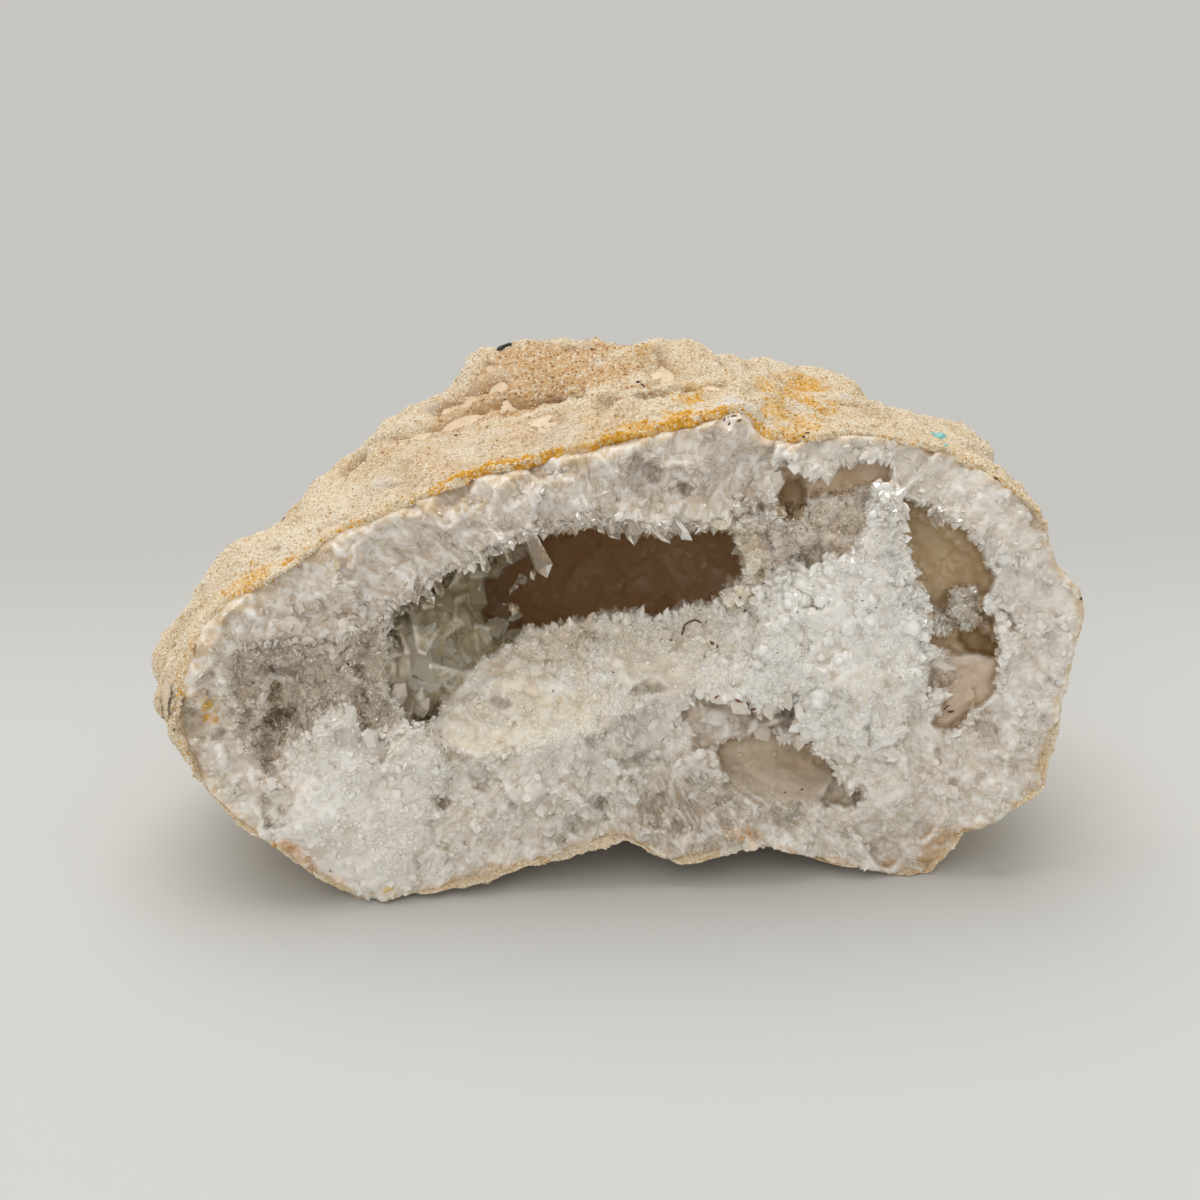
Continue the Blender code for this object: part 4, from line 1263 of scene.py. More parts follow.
def grow(name, count, weight, size, stretch, tilt, seed, embed=0.4, vary=0.06, smooth_shade=False, lighten=1.0,
         grain=False, spread=(1.3, 2.2)):
    """Crystals all over a part of the quartz, given by a weight for each of its triangles."""
    r = np.random.default_rng(seed)
    pos, nrm = pick(q_points, q_tris, q_normals, weight * t_ok, count, r)
    # neighbours lean together, as crystals of one tuft do
    tuft = np.stack([noise(pos, 3.4, seed + 7), noise(pos, 3.4, seed + 8), noise(pos, 3.4, seed + 9)], -1)
    axis = nrm + tilt * (0.7 * r.normal(size=nrm.shape) + 1.1 * tuft)
    w = size[0] * (size[1] / size[0]) ** (r.beta(*spread, len(pos)))
    l = w * r.uniform(stretch[0], stretch[1], len(pos))
    if grain:
        ob = gems(name, pos, axis, w, l * (1 - embed), l * embed, r, smooth_shade=smooth_shade)
    else:
        ob = crystals(name, pos, axis, w, l, r, embed=embed, smooth_shade=smooth_shade)
    deep = pos[:, 2] - chart(DEPTH, *project(pos))
    colour = tint_at(pos, deep) * lighten * (1.0 + vary * r.normal(size=(len(pos), 1)))
    set_colour(ob, "tint", np.repeat(colour, 8 if grain else 13, axis=0))
    return ob


mass_zone = zone(MASS, LOBE, soft=12.0)
crust_zone = zone(SHELF) + 0.3 * zone(LOWER_LEFT)
clear_zone = zone(LEFT_DRUSE, SEPTUM, GREY_DRUSE) + zone(CLUSTER_A, CLUSTER_B)
wall_zone = (1.0 - GROWN) + 0.25 * zone(LEDGE_LOW)
FRONT = np.minimum(DEPTH, near_min)
CAM_RIGHT, CAM_UP, CAM_BACK = view_axes()[1:]


def face_way(right_part, up_part, back_part):
    """A direction given across, up and out of the picture, in the frame of the break."""
    d = np.asarray(right_part)[..., None] * CAM_RIGHT + np.asarray(up_part)[..., None] * CAM_UP \
        + np.asarray(back_part)[..., None] * CAM_BACK
    return to_face(d) - to_face(np.zeros(3))


WALL_POINTS = KDTree(len(q_points))
for i, point in enumerate(q_points):
    WALL_POINTS.insert(point, i)
WALL_POINTS.balance()


def seated(pos):
    """Feet moved, where they need it, to within half a millimetre of the surface of the quartz."""
    out = pos.copy()
    for i, point in enumerate(pos):
        near, _, dist = WALL_POINTS.find(point)
        if dist > 0.5:
            out[i] = point + (np.array(near) - point) * (1.0 - 0.5 / dist)
    return out


def teeth(line, count, size, lean, out, stretch, seed, spread=0.5, sink=0.6, scatter=2.0):
    """Crystals standing along a line in px, pointing lean (across, up) in the picture and out towards the eye."""
    r = np.random.default_rng(seed)
    line = np.array(line, float)
    seg = np.hypot(*np.diff(line, axis=0).T)
    run = np.concatenate([[0], np.cumsum(seg)])
    s = r.uniform(0, run[-1], count)
    px = np.interp(s, run, line[:, 0]) + scatter * r.normal(size=count) - 2.0 * lean[0]
    py = np.interp(s, run, line[:, 1]) + scatter * r.normal(size=count) + 2.0 * lean[1]
    pos = plane_points(px, py, chart(FRONT, px, py) + sink + 0.5 * r.uniform(0, 1, count))
    axis = face_way(lean[0] + spread * r.normal(size=count), lean[1] + spread * r.normal(size=count),
                    out + spread * r.normal(size=count))
    w = size[0] * (size[1] / size[0]) ** r.beta(1.4, 2.0, count)
    l = w * r.uniform(stretch[0], stretch[1], count)
    return pos, axis, w, l, chart(TINT, px - 8.0 * lean[0], py + 8.0 * lean[1])


def stand(name, parts, seed, embed=0.3, vary=0.05):
    pos, axis, w, l, colour = (np.concatenate([p[k] for p in parts]) for k in range(5))
    pos = seated(pos)
    r = np.random.default_rng(seed)
    ob = crystals(name, pos, axis, w, l, r, embed=embed)
    colour = colour * (1.0 + vary * r.normal(size=(len(pos), 1)))
    set_colour(ob, "tint", np.repeat(colour, 13, axis=0))
    return ob


MAIN_LIP = [(386, 648), (390, 625), (396, 606), (415, 594), (441, 574), (470, 564), (502, 552), (536, 531),
            (564, 525), (600, 521), (625, 524), (650, 527), (686, 526), (704, 523), (733, 526)]
MASS_EDGE = [(884, 484), (897, 496), (903, 515), (898, 535), (905, 553), (914, 577), (924, 600), (925, 622),
             (932, 647), (949, 661), (953, 675), (944, 690), (925, 702)]
CREST = [(520, 632), (533, 625), (563, 625), (600, 615), (625, 613), (655, 618), (690, 607), (721, 603), (748, 590)]
clear_teeth = stand("teeth_clear", [
    teeth(MAIN_LIP, 190, (0.6, 1.7), (0.05, -1.0), 0.35, (1.0, 2.0), 401, spread=0.6, sink=0.9, scatter=3.0),
    teeth([(408, 586), (420, 594), (430, 590), (442, 586)], 22, (1.0, 2.1), (0.2, -0.9), 0.5, (1.0, 1.7), 431,
          spread=0.7, scatter=4.0),
    teeth([(482, 566), (490, 566), (503, 557), (512, 556)], 12, (0.9, 1.7), (0.1, -1.0), 0.5, (1.1, 1.8), 432,
          spread=0.6, scatter=2.5),
    teeth([(575, 522), (592, 519), (604, 519)], 20, (0.9, 1.9), (0.2, -1.0), 0.4, (1.1, 1.8), 433, spread=0.5),
    teeth([(640, 524), (655, 527), (668, 527)], 16, (0.9, 1.9), (0.2, -1.0), 0.4, (1.1, 1.7), 434, spread=0.5),
    teeth(MASS_EDGE, 150, (0.9, 2.2), (1.0, 0.0), 0.45, (0.9, 1.6), 402, sink=0.9, scatter=3.0),
    teeth([(733, 526), (745, 551), (750, 566), (746, 584)], 50, (1.0, 2.2), (-1.0, -0.2), 0.4, (1.0, 1.7), 403),
    teeth([(735, 512), (770, 505), (800, 520), (806, 545), (780, 562), (755, 560)], 110, (1.0, 2.4), (-0.2, 0.2), 1.0,
          (1.0, 1.6), 404, scatter=7.0),
    teeth([(918, 502), (942, 514), (962, 528), (984, 545)], 36, (0.8, 1.8), (-0.4, -0.8), 0.4, (1.1, 1.8), 405),
    teeth([(950, 600), (962, 590), (976, 600), (976, 620)], 40, (1.0, 2.2), (0.0, 0.3), 1.0, (1.0, 1.6), 406,
          scatter=5.0),
    teeth([(928, 612), (942, 618), (946, 630)], 22, (0.9, 1.8), (0.0, 0.0), 1.0, (1.0, 1.6), 407, scatter=4.0),
    teeth([(268, 735), (300, 712), (340, 700), (384, 690)], 90, (0.7, 1.5), (0.0, 0.5), 1.0, (1.0, 1.7), 408,
          scatter=12.0),
    teeth([(884, 555), (905, 600), (912, 640), (900, 690)], 50, (0.9, 2.0), (0.4, 0.3), 1.0, (0.9, 1.4), 409,
          scatter=9.0),
    teeth([(758, 592), (790, 578), (830, 566), (870, 560)], 60, (0.8, 1.8), (-0.1, 0.5), 1.0, (0.9, 1.4), 435,
          scatter=9.0),
    teeth([(870, 490), (886, 500), (888, 530)], 30, (0.9, 2.0), (-0.2, 0.4), 1.0, (1.0, 1.5), 410, scatter=6.0),
    teeth([(571, 640), (600, 632), (590, 642)], 40, (0.5, 1.2), (0.0, 0.8), 0.8, (1.0, 1.6), 411, scatter=6.0),
], 412)
milky_teeth = stand("teeth_milky", [
    teeth(LEDGE_LINE, 70, (0.8, 2.4), (-0.1, -1.0), 0.15, (1.1, 2.0), 421, sink=1.2),
    teeth([(786, 464), (800, 466), (812, 472), (822, 477), (835, 467), (842, 462), (870, 456), (886, 458)], 60,
          (1.0, 2.8), (0.0, -1.0), 0.25, (1.0, 1.8), 422),
    teeth(CREST, 70, (0.8, 2.2), (0.0, 1.0), 0.3, (0.9, 1.5), 423, sink=1.2),
    teeth([(298, 741), (322, 722), (346, 706), (352, 716), (362, 734), (389, 731), (408, 721), (431, 722)], 60,
          (0.7, 1.8), (0.0, 1.0), 0.3, (0.9, 1.5), 424, sink=1.1),
    teeth(LEFT_LIP, 80, (0.5, 1.3), (0.0, -1.0), 0.3, (0.9, 1.6), 425),
    teeth(MAIN_LIP, 70, (0.9, 2.4), (0.0, -1.0), 0.3, (0.9, 1.5), 436, sink=1.4, scatter=4.0),
    teeth([(719, 743), (731, 737), (746, 736), (761, 729), (773, 733), (781, 745), (796, 741), (810, 750),
           (832, 772)], 45, (0.7, 1.8), (0.0, -0.8), 0.3, (0.9, 1.5), 426, sink=1.1),
    teeth([(442, 744), (474, 756), (507, 753), (543, 749), (564, 737), (600, 725)], 100, (0.5, 1.3), (0.0, -0.7), 0.7,
          (0.8, 1.3), 427),
    teeth([(728, 606), (758, 592), (790, 574), (812, 566), (842, 558)], 60, (1.0, 2.4), (-0.1, 0.8), 0.7,
          (0.9, 1.4), 428, scatter=5.0),
    teeth(MASS_EDGE, 70, (1.4, 3.0), (1.0, -0.1), 0.5, (0.8, 1.3), 437, sink=1.4, scatter=4.0),
], 429)


def singles(name, rows, seed, squash=0.8, tip=0.6):
    """Crystals picked out one by one: foot and tip in px, width in mm, how far the tip stands out, and a tint."""
    r = np.random.default_rng(seed)
    rows = np.array(rows, float)
    foot_w = chart(DEPTH, rows[:, 0], rows[:, 1])
    front_w = chart(FRONT, rows[:, 0], rows[:, 1])
    foot_w = np.where(rows[:, 5] > 0.5, front_w + 0.8, foot_w + 0.8)
    foot = seated(plane_points(rows[:, 0], rows[:, 1], foot_w))
    top = plane_points(rows[:, 2], rows[:, 3], foot_w - 0.8 - rows[:, 6])
    length = np.linalg.norm(top - foot, axis=-1)
    ob = crystals(name, foot, top - foot, rows[:, 4], length, r, squash=np.full(len(rows), squash), embed=0.0, tip=tip)
    colour = np.stack([srgb(*c) for c in rows[:, 7:10]])
    set_colour(ob, "tint", np.repeat(colour, 13, axis=0))
    return ob


# foot, tip, width, 1 when it hangs from an edge, height of the tip over its foot, tint
large_clear = singles("crystals_large_clear", [
    (530, 538, 549, 577, 3.0, 1, 0.6, 214, 200, 178), (606, 516, 618, 541, 2.3, 1, 0.6, 226, 220, 210),
    (630, 521, 637, 545, 2.6, 1, 0.2, 216, 204, 188), (652, 524, 672, 542, 2.6, 1, 0.5, 224, 216, 204),
    (676, 523, 690, 542, 2.4, 1, 0.8, 226, 218, 206), (594, 517, 604, 534, 1.8, 1, 0.4, 228, 222, 212),
    (722, 598, 690, 610, 2.7, 0, 1.6, 222, 210, 192), (434, 764, 434, 727, 2.3, 0, 0.8, 226, 222, 212),
    (929, 512, 938, 530, 1.7, 1, 0.6, 224, 214, 200), (938, 514, 943, 527, 1.5, 1, 0.9, 224, 214, 200),
    (408, 583, 415, 602, 1.7, 1, 0.5, 224, 216, 204), (424, 588, 434, 604, 1.8, 1, 0.9, 224, 216, 204),
    (438, 584, 443, 597, 1.5, 1, 1.2, 224, 216, 204), (486, 562, 489, 574, 1.5, 1, 0.7, 226, 218, 206),
    (506, 552, 512, 565, 1.6, 1, 0.7, 226, 218, 206), (392, 600, 400, 612, 1.5, 1, 0.9, 224, 216, 204),
    (700, 521, 694, 534, 1.7, 1, 0.6, 220, 210, 196), (742, 545, 733, 556, 2.0, 1, 0.8, 222, 212, 198),
    (884, 601, 872, 596, 2.2, 0, 1.8, 236, 232, 224), (862, 590, 846, 600, 1.9, 0, 1.6, 236, 232, 226),
    (905, 600, 916, 588, 2.4, 0, 1.6, 232, 226, 216), (912, 612, 926, 606, 2.0, 0, 1.4, 232, 226, 216),
    (778, 596, 764, 582, 2.2, 0, 1.6, 232, 228, 220), (752, 598, 742, 586, 2.4, 0, 1.6, 226, 218, 204),
    (452, 640, 446, 622, 3.2, 0, 1.2, 196, 188, 164), (866, 508, 860, 494, 2.2, 0, 1.8, 230, 224, 214),
], 451)
large_milky = singles("crystals_large_milky", [
    (803, 693, 834, 718, 3.0, 0, 1.6, 240, 238, 233), (843, 712, 868, 746, 3.2, 0, 1.8, 240, 238, 233),
    (872, 746, 910, 727, 3.4, 0, 2.0, 240, 238, 233), (938, 664, 956, 672, 3.0, 1, 1.0, 232, 226, 214),
    (742, 604, 726, 598, 3.0, 0, 0.8, 226, 212, 192),
    (824, 628, 804, 616, 2.8, 0, 1.6, 238, 236, 230), (874, 596, 896, 590, 2.8, 0, 1.2, 240, 238, 232),
    (700, 660, 716, 676, 3.0, 0, 1.4, 238, 234, 225), (746, 640, 764, 660, 3.2, 0, 1.6, 238, 235, 228),
    (850, 652, 868, 662, 3.0, 0, 0.9, 242, 240, 236), (812, 668, 830, 680, 3.0, 0, 1.0, 240, 238, 233),
    (350, 722, 352, 704, 3.2, 0, 1.2, 238, 236, 230), (372, 744, 368, 728, 2.8, 0, 1.2, 236, 233, 226),
    (660, 640, 672, 628, 2.6, 0, 1.4, 240, 234, 222), (692, 630, 700, 618, 2.4, 0, 1.4, 238, 231, 218),
    (395, 700, 404, 684, 3.4, 0, 1.2, 222, 214, 202), (418, 712, 428, 698, 3.2, 0, 1.0, 222, 214, 202),
    (898, 500, 904, 488, 2.4, 1, 1.0, 238, 234, 228), (776, 474, 780, 494, 3.2, 1, 0.6, 226, 218, 206),
    (826, 472, 828, 486, 3.0, 1, 0.4, 232, 226, 216), (808, 466, 812, 480, 2.6, 1, 0.4, 232, 226, 216),
    (850, 456, 852, 470, 2.6, 1, 0.4, 230, 222, 210), (868, 452, 872, 464, 2.4, 1, 0.4, 230, 222, 210),
    (736, 700, 744, 716, 2.8, 1, 0.4, 236, 230, 220), (712, 690, 722, 706, 2.6, 1, 0.4, 236, 230, 220),
    (768, 708, 772, 722, 2.4, 1, 0.4, 234, 228, 218), (786, 694, 789, 712, 2.2, 1, 0.4, 234, 228, 218),
    (760, 728, 768, 742, 3.0, 1, 0.2, 228, 220, 208), (796, 738, 800, 752, 2.8, 1, 0.2, 228, 220, 208),
], 452, squash=0.7, tip=0.5)

far_back = smooth(30.0, 36.0, t_mid[:, 2])
mass_calm = 1.0 - 0.8 * CALM
crust_patch = smooth(-0.35, 0.45, noise(CQ, 5.0, 241) + 0.6 * noise(CQ, 2.2, 242))
pieces = [
    ("ice", grow("crystals_milky", 1700, t_seen * at_t(mass_zone * mass_calm), (1.4, 3.8), (0.8, 1.1), 0.32, 303, 0.78,
                 vary=0.015, smooth_shade=True, lighten=1.03, spread=(1.2, 2.4))),
    ("milk", grow("crystals_glassy", 1500, t_seen * at_t(mass_zone * mass_calm), (0.9, 2.6), (0.9, 1.3), 0.45, 313, 0.66,
                  vary=0.02, lighten=1.03, spread=(1.3, 2.4))),
    ("ice", grow("crystals_crust", 3400, t_seen * at_t(crust_zone * (0.15 + 0.85 * crust_patch)), (0.6, 2.0),
                 (0.8, 1.2), 0.45, 305, 0.64,
                 vary=0.025, grain=True, lighten=1.02)),
    ("ice", grow("crystals_wall", 3600, t_seen * at_t(wall_zone), (0.9, 3.2), (0.35, 0.7), 0.5, 306, 0.72,
                 vary=0.03, grain=True, lighten=1.02)),
    ("half", grow("crystals_druse", 3300, t_seen * at_t(clear_zone), (0.7, 2.0), (0.9, 1.5), 0.42, 302, 0.5)),
    ("half", grow("crystals_cavity", 2200, (1 - t_seen) * smooth(1.0, 3.0, np.abs(t_deep)) * (1 - far_back)
                  * (1 - at_t(zone(BLOCKS, grow=10.0))),
                  (1.2, 3.6), (1.0, 1.6), 0.35, 301, 0.5)),
    ("blocky", grow("crystals_blocky", 16, t_seen * at_t(zone(BLOCKS, grow=-6.0)), (4.0, 8.4), (0.7, 1.0), 0.34, 307,
                    0.76, vary=0.015, lighten=0.74)),
    ("frosted", clear_teeth), ("ice", milky_teeth), ("glass", large_clear), ("milk", large_milky),
]

# ------------------------------------------------------------------ materials
n = Nodes("rind_sandstone")
grain, mottle, broad = n.noise(0.5, 2.0, 0.6), n.noise(2.2, 4.0, 0.6), n.noise(12.0, 3.0, 0.5)
col = n.mix(n.ramp(mottle, 0.35, 0.65), tuple(srgb(230, 208, 172)), tuple(srgb(242, 226, 198)))
col = n.mix(n.ramp(broad, 0.40, 0.62), col, tuple(srgb(240, 228, 206)))
col = n.mix(n.ramp(grain, 0.46, 0.32), col, tuple(srgb(196, 154, 104)))
col = n.mix(n.ramp(grain, 0.54, 0.68), col, tuple(srgb(250, 243, 227)))
col = n.mix(1.0, col, (0.95, 0.95, 0.95), 'MULTIPLY')
tan = n.math('MULTIPLY', n.attr("tan"), n.ramp(n.noise(0.9, 3.0, 0.65), 0.38, 0.56))
col = n.mix(tan, col, tuple(srgb(212, 172, 124)))
col = n.mix(n.attr("chalk"), col, tuple(srgb(238, 233, 226)))
iron = n.math('MULTIPLY', n.attr("iron"), n.ramp(n.noise(0.9, 3.0, 0.65), 0.38, 0.54))
col = n.mix(n.math('MULTIPLY', n.attr("iron"), 0.55), col, tuple(srgb(244, 206, 122)))
col = n.mix(iron, col, tuple(srgb(226, 168, 58)))
# painted shade: the rind's creases, holes, pits and low places are darkened towards brown
col = n.mix(n.math('MULTIPLY', n.attr("hollow"), 0.75), col, tuple(srgb(150, 112, 72)))
# dark brown for dirt in a few spots, and painted shade in holes, creases and on the underside near the floor
col = n.mix(n.attr("dirt_and_shade"), col, tuple(srgb(120, 98, 74)))
n.set(Base_Color=col, Roughness=0.95)
n.bsdf.inputs["Specular IOR Level"].default_value = 0.25
rough = n.bump(n.noise(0.35, 3.0, 0.7), 0.30, 1.0)
n.link(n.bump(n.voronoi(0.7), 0.25, 0.8, rough), n.bsdf.inputs["Normal"])
rind_mat = n.mat

n = Nodes("rind_grain")
n.set(Base_Color=n.mix(n.ramp(n.noise(0.4, 2.0, 0.6), 0.4, 0.65, 0.0, 0.35), n.attr_colour("tint"),
                       n.mix(1.0, n.attr_colour("tint"), (0.78, 0.70, 0.58), 'MULTIPLY')), Roughness=0.95)
n.bsdf.inputs["Specular IOR Level"].default_value = 0.25
grain_mat = n.mat

n = Nodes("milky_quartz")
fan = n.add("ShaderNodeAttribute", attribute_name="fan").outputs["Vector"]
wall_part = n.ramp(n.attr("grown"), 0.2, 0.8, 1.0, 0.0)
streak = n.add("ShaderNodeTexNoise")
n.link(fan, streak.inputs["Vector"])
streak.inputs["Scale"].default_value = 1000.0 / 0.9
streak.inputs["Detail"].default_value = 3.0
streak.inputs["Roughness"].default_value = 0.6
mottle, broad = n.noise(4.2, 4.0, 0.55, 0.8), n.noise(13.0, 2.0, 0.5)
cell_a = n.separate(n.voronoi(1.5, out="Color"))
cell_b = n.separate(n.voronoi(0.7, out="Color"))
tint_in = n.attr_colour("tint")
# each grown grain has its own clearness: clear ones look darker and warmer, frosted ones white
clearness = n.math('ADD', n.math('MULTIPLY', mottle, 1.7), n.math('ADD', n.math('MULTIPLY', cell_a, 0.22),
                                                                 n.math('MULTIPLY', cell_b, 0.14)))
clear_share = n.math('MULTIPLY', n.ramp(clearness, 0.80, 1.10, 0.75, 0.0), n.ramp(n.attr("cave"), 0.0, 1.0, 1.0, 0.10))
col = n.mix(clear_share, tint_in, n.mix(1.0, tint_in, (0.78, 0.72, 0.64), 'MULTIPLY'))
frost = n.math('MULTIPLY', n.ramp(clearness, 1.02, 1.30, 0.0, 0.65), n.ramp(n.attr("cave"), 0.0, 1.0, 1.0, 0.12))
col = n.mix(frost, col, n.mix(0.75, tint_in, (0.90, 0.90, 0.895)))
col = n.mix(n.ramp(broad, 0.44, 0.60, 0.0, 0.45), col, n.mix(1.0, tint_in, (0.90, 0.85, 0.79), 'MULTIPLY'))
streak_mask = n.math('MULTIPLY', n.ramp(streak.outputs["Fac"], 0.48, 0.62, 0.0, 0.6), wall_part)
between = n.math('MULTIPLY', n.ramp(streak.outputs["Fac"], 0.36, 0.48, 0.75, 0.0), wall_part)
col = n.mix(between, col, n.mix(1.0, col, (0.90, 0.87, 0.83), 'MULTIPLY'))
col = n.mix(streak_mask, col, (0.87, 0.87, 0.86))
n.set(Base_Color=col, Roughness=n.ramp(mottle, 0.3, 0.7, 0.24, 0.46))
n.bsdf.inputs["IOR"].default_value = 1.544
n.bsdf.inputs["Subsurface Weight"].default_value = 0.30
n.bsdf.inputs["Subsurface Radius"].default_value = (1.0, 0.92, 0.8)
n.bsdf.inputs["Subsurface Scale"].default_value = 0.0013
h1 = n.bump(n.facets(1.5), 0.24, 0.9)
h2 = n.bump(n.facets(0.7), 0.12, 0.9, h1)
h3 = n.bump(n.math('MULTIPLY', streak.outputs["Fac"], wall_part), 0.30, 0.9, h2)
n.link(h3, n.bsdf.inputs["Normal"])
quartz_mat = n.mat


def crystal_material(name, rough, transmission, colour=None, soft=0.0):
    m = Nodes(name)
    m.set(Base_Color=m.attr_colour("tint") if colour is None else colour, Roughness=rough)
    m.bsdf.inputs["IOR"].default_value = 1.544
    m.bsdf.inputs["Transmission Weight"].default_value = transmission
    if soft:
        m.bsdf.inputs["Subsurface Weight"].default_value = soft
        m.bsdf.inputs["Subsurface Radius"].default_value = (1.0, 0.95, 0.88)
        m.bsdf.inputs["Subsurface Scale"].default_value = 0.0011
    return m.mat


crystal_mats = {"ice": crystal_material("ice_crystal", 0.18, 0.06, None, 0.22),
                "milk": crystal_material("glassy_milk_crystal", 0.12, 0.35, None, 0.12),
                "half": crystal_material("druse_crystal", 0.10, 0.50),
                "blocky": crystal_material("blocky_crystal", 0.42, 0.20),
                "frosted": crystal_material("frosted_crystal", 0.12, 0.62),
                "glass": crystal_material("glassy_crystal", 0.05, 0.85)}

# ------------------------------------------------------------------ colour of the rind, its grains
def patches(q, rows, seed, lump=3.0):
    """Ragged round patches about places given in px: px, py, radius in mm, strength."""
    out = np.zeros(len(q))
    for px, py, r, strength in rows:
        dist = np.linalg.norm(q - ray_to_skin(px, py), axis=-1) / r + 0.4 * noise(q, lump, seed)
        out = np.maximum(out, strength * (1.0 - smooth(0.45, 1.05, dist)))
    return out


def iron_at(q):
    rim_w = q[:, 2] - break_depth(q[:, 0], q[:, 1])
    theta = np.degrees(np.arctan2(q[:, 1] - RIM_CENTRE[1], q[:, 0] - RIM_CENTRE[0]))
    top_line = smooth(62, 72, theta) * (1 - smooth(126, 138, theta))
    wide = 1.15 + 0.7 * noise(q, 7.0, 86)
    line = (1.0 - smooth(0.15 * wide, 0.85 * wide, np.abs(rim_w - 0.3) + 0.7 * noise(q, 1.8, 81)))
    iron = line * (0.18 + 0.82 * top_line)
    spots = patches(q, ((795, 396, 6.5, 0.75), (812, 390, 4.0, 0.8), (800, 386, 4.0, 0.6), (250, 578, 5.0, 0.6),
                        (236, 588, 3.5, 0.6), (262, 570, 3.0, 0.6), (690, 400, 2.6, 0.85), (684, 415, 2.2, 1.0),
                        (287, 560, 1.6, 0.9), (640, 352, 4.0, 0.5), (470, 472, 3.0, 0.8), (762, 428, 3.0, 0.9),
                        (790, 432, 3.0, 0.6), (636, 432, 3.5, 0.8), (620, 440, 2.6, 0.8), (772, 388, 4.0, 0.45),
                        (776, 412, 4.5, 0.55), (806, 422, 4.0, 0.6), (832, 412, 3.0, 0.4), (692, 388, 3.2, 0.5),
                        (668, 424, 4.0, 0.7), (440, 488, 3.0, 0.6), (345, 524, 3.0, 0.4)), 82, 1.6)
    return np.maximum(iron, spots)


def tan_at(q):
    tan = patches(q, ((500, 372, 9.0, 0.55), (540, 372, 12.0, 0.95), (580, 368, 12.0, 0.95), (612, 378, 9.0, 0.9),
                      (560, 392, 9.0, 0.95), (622, 352, 5.0, 0.95), (500, 398, 8.0, 0.9), (460, 412, 7.0, 0.6),
                      (400, 440, 7.0, 0.4), (370, 466, 5.0, 0.4), (800, 390, 7.0, 0.5), (520, 430, 12.0, 0.35),
                      (600, 420, 10.0, 0.35), (420, 470, 10.0, 0.35)), 83, 4.0)
    behind = 0.35 * smooth(0.1, 0.7, noise(q, 18.0, 84)) * smooth(45, 60, q[:, 2])
    return np.maximum(tan, behind)


def dirt_and_shade_at(q):
    # dark brown on the rind: dirt in a few spots, painted shade in some of its holes and creases, and painted shade on
    # the underside near the floor
    below = (1.0 - smooth(2.0, 10.0, to_world(q)[:, 2])) * smooth(1.5, 5.0, q[:, 2] - break_depth(q[:, 0], q[:, 1]))
    spots = patches(q, ((166, 692, 3.6, 0.9), (170, 702, 3.4, 0.95), (164, 712, 3.0, 0.9), (640, 396, 0.9, 0.9),
                       (606, 402, 1.5, 0.5), (553, 403, 2.6, 0.55), (575, 398, 2.6, 0.5), (393, 452, 1.2, 0.5),
                       (386, 464, 1.4, 0.6), (175, 645, 0.9, 0.7), (860, 404, 1.0, 0.5)), 87, 1.2)
    return np.maximum(spots, 0.8 * below)


def chalk_at(q):
    return patches(q, ((712, 412, 3.6, 0.9), (730, 405, 4.2, 0.95), (748, 412, 3.6, 0.95), (762, 424, 2.6, 0.8),
                       (600, 366, 2.4, 0.7), (844, 396, 1.6, 0.8), (432, 404, 2.4, 0.6), (384, 478, 2.4, 0.6),
                       (560, 432, 5.0, 0.4), (470, 448, 6.0, 0.35), (650, 345, 3.5, 0.6)), 88, 2.2)


set_attribute(rind_ob, "iron", iron_at(rind_q))
set_attribute(rind_ob, "tan", tan_at(rind_q))
set_attribute(rind_ob, "dirt_and_shade", dirt_and_shade_at(rind_q))
set_attribute(rind_ob, "chalk", chalk_at(rind_q))
set_attribute(rind_ob, "hollow", rind_hollow_shade)


